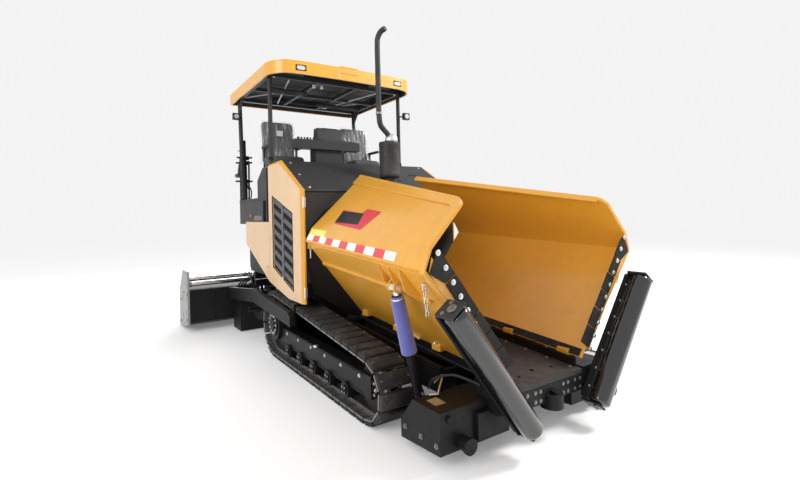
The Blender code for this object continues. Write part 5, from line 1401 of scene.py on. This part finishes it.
# ------------------------------------------------------------------ screed extensions
# Sliding screed boxes: a black welded body with ribs, an aluminium end gate with slotted holes,
# and two ground guide tubes with collars.
ALLOY = steel("end_gate_alloy", (0.36, 0.36, 0.355), 0.42, 0.0001)
for label, side in SIDES.items():
    body = "screed_extension_" + label
    x0, x1 = 0.72, 1.80
    y0 = 2.64 - MID
    profile = [(y0, 0.15), (3.2 - MID, 0.006), (3.36 - MID, 0.006), (3.36 - MID, 0.50), (3.20 - MID, 0.66),
               (y0, 0.66)]
    box = bmesh.new()
    start = min(side * x0, side * x1)
    add_plate(box, profile, x1 - x0, lambda a, b, c: Vector((start + c, a, b)))
    casing = piece("extension_body_" + label, box, BLACK, body, bevel=0.006)
    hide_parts(body)
    ribs = bmesh.new()
    for share in (0.06, 0.36, 0.66, 0.94):
        x = side * (x0 + (x1 - x0) * share)
        add_box(ribs, (x - 0.008, y0 - 0.010, 0.17), (x + 0.008, y0 + 0.003, 0.64))
    add_box(ribs, (min(side * x0, side * x1), y0 - 0.012, 0.625),
            (max(side * x0, side * x1), y0 + 0.004, 0.655))
    piece("extension_ribs_" + label, ribs, BLACK, body, bevel=0.002)
    gate = bmesh.new()
    gate_shape = [(y0 - 0.02, 0.12), (3.2 - MID, 0.008), (3.40 - MID, 0.008), (3.40 - MID, 0.6),
                  (3.05 - MID, 0.95),
                  (y0 + 0.02, 0.95), (y0 - 0.02, 0.85)]
    start = min(side * (x1 - 0.004), side * (x1 + 0.030))
    add_plate(gate, gate_shape, 0.034, lambda a, b, c: Vector((start + c, a, b)))
    end_gate = piece("end_gate_" + label, gate, ALLOY, body, bevel=0.004)
    for y, z in ((y0 + 0.09, 0.30), (y0 + 0.09, 0.52), (y0 + 0.09, 0.74), (y0 + 0.40, 0.22),
                 (y0 + 0.40, 0.50)):
        slot_hole = bmesh.new()
        shape = arc((y, z + 0.03), 0.018, 0, 180, 8) + arc((y, z - 0.03), 0.018, 180, 360, 8)
        add_plate(slot_hole, shape, 0.2, lambda a, b, c: Vector((side * (x1 + 0.02) - 0.1 + c, a, b)))
        cut(end_gate, slot_hole)
    tubes, collars = bmesh.new(), bmesh.new()
    lines = ((2.74, 0.745), (2.93, 0.800)) if side < 0 else ((2.76, 0.860), (2.95, 0.890))
    for y, z in lines:
        add_rod(tubes, (side * -0.10, y - MID, z), (side * x1, y - MID, z), 0.0355, 32)
        for x, wide in ((x1 - 0.03, 0.02), (0.86, 0.014), (0.80, 0.014)):
            add_rod(collars, (side * (x - wide), y - MID, z), (side * (x + wide), y - MID, z), 0.043, 28)
    piece("guide_tubes_" + label, tubes, CHROME, body, bevel=0.002)
    piece("tube_collars_" + label, collars, ALLOY, body, bevel=0.002)
    gate_bolts = bmesh.new()
    for y, z in ((y0 + 0.02, 0.20), (y0 + 0.02, 0.60), (y0 + 0.30, 0.60), (y0 + 0.60, 0.10),
                 (y0 + 0.60, 0.45)):
        add_bolt(gate_bolts, (side * (x1 + 0.030), y, z), (side, 0, 0), 0.013)
    piece("gate_bolts_" + label, gate_bolts, CAST, body, bevel=0.001)


# ------------------------------------------------------------------ screed, its valves and hoses
# Small parts on the screed: on each side a valve block with plated unions and three black hoses,
# and along the walkway a tread of short raised bars.
for label, side in SIDES.items():
    block, unions = bmesh.new(), bmesh.new()
    bx, by = side * 0.90, 2.26 - MID
    add_box(block, (bx - 0.07, by - 0.04, 0.598), (bx + 0.07, by + 0.06, 0.74))
    add_box(block, (bx - 0.03, by - 0.02, 0.74), (bx + 0.05, by + 0.04, 0.86))
    for i in range(4):
        x = bx - 0.05 + i * 0.034
        add_rod(unions, (x, by - 0.04, 0.66), (x, by - 0.075, 0.66), 0.012, 6)
        add_rod(unions, (x, by + 0.01, 0.74 if i in (0, 3) else 0.86),
                (x, by + 0.01, 0.78 if i in (0, 3) else 0.90), 0.012, 6)
    piece("screed_valves_" + label, block, BLACK, "screed", bevel=0.005)
    piece("screed_unions_" + label, unions, ZINC, "screed", bevel=0.001)
    for i in range(3):
        x = bx - 0.05 + i * 0.045
        pipe("screed_hose_%d_%s" % (i, label),
             [(x, by - 0.07, 0.66), (x, by - 0.12, 0.70), (x + side * 0.03, by - 0.10, 0.82 + i * 0.03),
              (x + side * 0.10, by + 0.04, 0.80), (x + side * 0.16, by + 0.14, 0.70), (x + side * 0.18,
                                                                                       by + 0.20, 0.602)],
             0.013, PLASTIC, "screed")
tread = bmesh.new()
for i in range(22):
    x = -1.10 + i * 2.2 / 21
    for y in (3.48, 3.56, 3.64, 3.71):
        add_rod(tread, (x - 0.022, y - MID, 0.3312), (x + 0.022, y - MID, 0.3312), 0.004, 6)
piece("walkway_tread", tread, ZINC, "screed")


# ------------------------------------------------------------------ platform side fittings
# On each side, a sensor mast with its lamps and hoses stands behind the seat. Grey channels, a
# blank plate and an orange button sit ahead of it, with an off-white box, steps and a handrail below.
ORANGE = matt("orange_cap", (0.70, 0.13, 0.03), 0.5, spots=0.1, dusty=0.05)
OFF_WHITE = paint("off_white_box", (0.60, 0.60, 0.55), 0.5, dust=0.2, coat=0.1)
for label, side in SIDES.items():
    channels = bmesh.new()
    for y in (0.845, 0.945):
        add_side_box(channels, side, (1.065, y - 0.020 - MID, 1.72), (1.098, y + 0.020 - MID, 2.44))
    piece("side_channels_" + label, channels, GREY, "machine", bevel=0.006, segments=3)
    plate_piece = bmesh.new()
    add_side_box(plate_piece, side, (1.1102, 1.10 - MID, 1.735), (1.1135, 1.46 - MID, 1.80))
    piece("blank_plate_" + label, plate_piece, BADGE_BLACK, "machine", bevel=0.001)
    button = bmesh.new()
    add_rod(button, (side * 1.110, 1.60 - MID, 1.80), (side * 1.128, 1.60 - MID, 1.80), 0.022, 20)
    piece("orange_button_" + label, button, ORANGE, "machine", bevel=0.004)
    carton = bmesh.new()
    add_side_box(carton, side, (0.90, 1.90 - MID, 0.99), (1.02, 2.00 - MID, 1.26))
    piece("grease_box_" + label, carton, OFF_WHITE, "machine", bevel=0.010, segments=3)

    mast = bmesh.new()
    mx, my = side * 0.97, 2.43 - MID
    add_box(mast, (mx - 0.045, 2.30 - MID, 2.0), (mx + 0.045, my + 0.05, 2.045))
    add_rod(mast, (mx, my, 2.0), (mx + side * 0.01, my - 0.02, 2.62), 0.042, 24)
    add_rod(mast, (mx + side * 0.01, my - 0.02, 2.60), (mx + side * 0.02, my - 0.04, 3.02), 0.034, 24)
    add_rod(mast, (mx + side * 0.05, my + 0.05, 2.02), (mx + side * 0.06, my + 0.02, 2.74), 0.016, 14)
    add_rod(mast, (mx - side * 0.07, my + 0.02, 2.02), (mx - side * 0.07, my + 0.0, 2.70), 0.014, 14)
    for z, reach in ((2.66, 0.17), (2.36, 0.20), (2.74, 0.10)):
        add_rod(mast, (mx - side * 0.09, my - 0.10, z), (mx + side * 0.09, my + reach, z + 0.02), 0.015, 14)
        add_rod(mast, (mx - side * 0.02, my - 0.01, z - 0.03), (mx - side * 0.02, my - 0.01, z + 0.03),
                0.052, 20)
    piece("sensor_mast_" + label, mast, BLACK, "machine", bevel=0.004)
    lamp = bmesh.new()
    add_rod(lamp, (mx + side * 0.10, my + 0.10, 2.46), (mx + side * 0.10, my + 0.03, 2.46), 0.036, 20)
    add_rod(lamp, (mx + side * 0.05, my + 0.10, 2.86), (mx + side * 0.05, my + 0.10, 2.875), 0.030, 20)
    piece("mast_lamp_" + label, lamp, CAST, "machine", bevel=0.003)
    for i in range(3):
        off = i * 0.035
        pipe("mast_hose_%d_%s" % (i, label),
             [(mx - side * (0.03 + off), my + 0.05, 2.02), (mx - side * (0.05 + off), my + 0.10, 2.25),
              (mx + side * 0.03, my + 0.12 + off, 2.45), (mx + side * 0.05, my + 0.08 + off, 2.62),
              (mx + side * 0.01, my + 0.03, 2.78 + off)], 0.010, PLASTIC, "machine")
    rail = bmesh.new()
    for z in (1.20, 1.55):
        add_side_box(rail, side, (0.70, 1.90 - MID, z), (1.00, 2.02 - MID, z + 0.025))
    piece("rear_steps_" + label, rail, BLACK, "machine", bevel=0.004)
    hand = [(side * 0.66, 1.93 - MID, 1.15), (side * 0.66, 2.10 - MID, 1.25), (side * 0.66, 2.30 - MID, 1.70),
            (side * 0.66, 2.36 - MID, 2.05), (side * 0.66, 2.36 - MID, 2.85), (side * 0.66, 2.20 - MID, 2.95),
            (side * 0.66, 2.05 - MID, 2.85), (side * 0.66, 2.05 - MID, 2.07)]
    pipe("handrail_" + label, hand, 0.018, BLACK, "machine", steps=8, sides=4)


# ------------------------------------------------------------------ carried-over pieces
# The welded and cast pieces whose imported shape is right keep it. Each takes the finish of the
# material slot that the record gives it.
# The peach_paint slot takes the paler copy of the yellow paint, painted light.
COAT = {"black_paint": BLACK, "grey_paint": GREY, "yellow_paint": YELLOW, "peach_paint": PALE_LIT_YELLOW,
        "rubber": RUBBER,
        "bright_steel": CHROME, "gloss_black": GLOSS, "sleeve": canvas.material, "seat_cover": PLASTIC}
slots = {entry["node"]: entry["material_slot"] for entry in frame["record"]["subparts"]}
for name, node in frame["nodes"].items():
    coat = COAT[slots[name]]
    for place in node.material_slots:
        place.material = coat
    if not node.material_slots:
        node.data.materials.append(coat)


# ------------------------------------------------------------------ floor
# The pale studio floor lies just under the tracks.
floor_mesh = bpy.data.meshes.new("studio_floor")
ground = bmesh.new()
bmesh.ops.create_grid(ground, x_segments=1, y_segments=1, size=40)
ground.to_mesh(floor_mesh)
ground.free()
floor = bpy.data.objects.new("studio_floor", floor_mesh)
floor.location = (0, 0, -0.001)
bpy.context.scene.collection.objects.link(floor)
pale = Finish("pale_floor", (0.80, 0.80, 0.80), 0.9, Emission_Color=(1, 1, 1, 1), Emission_Strength=0.16)
floor_mesh.materials.append(pale.material)
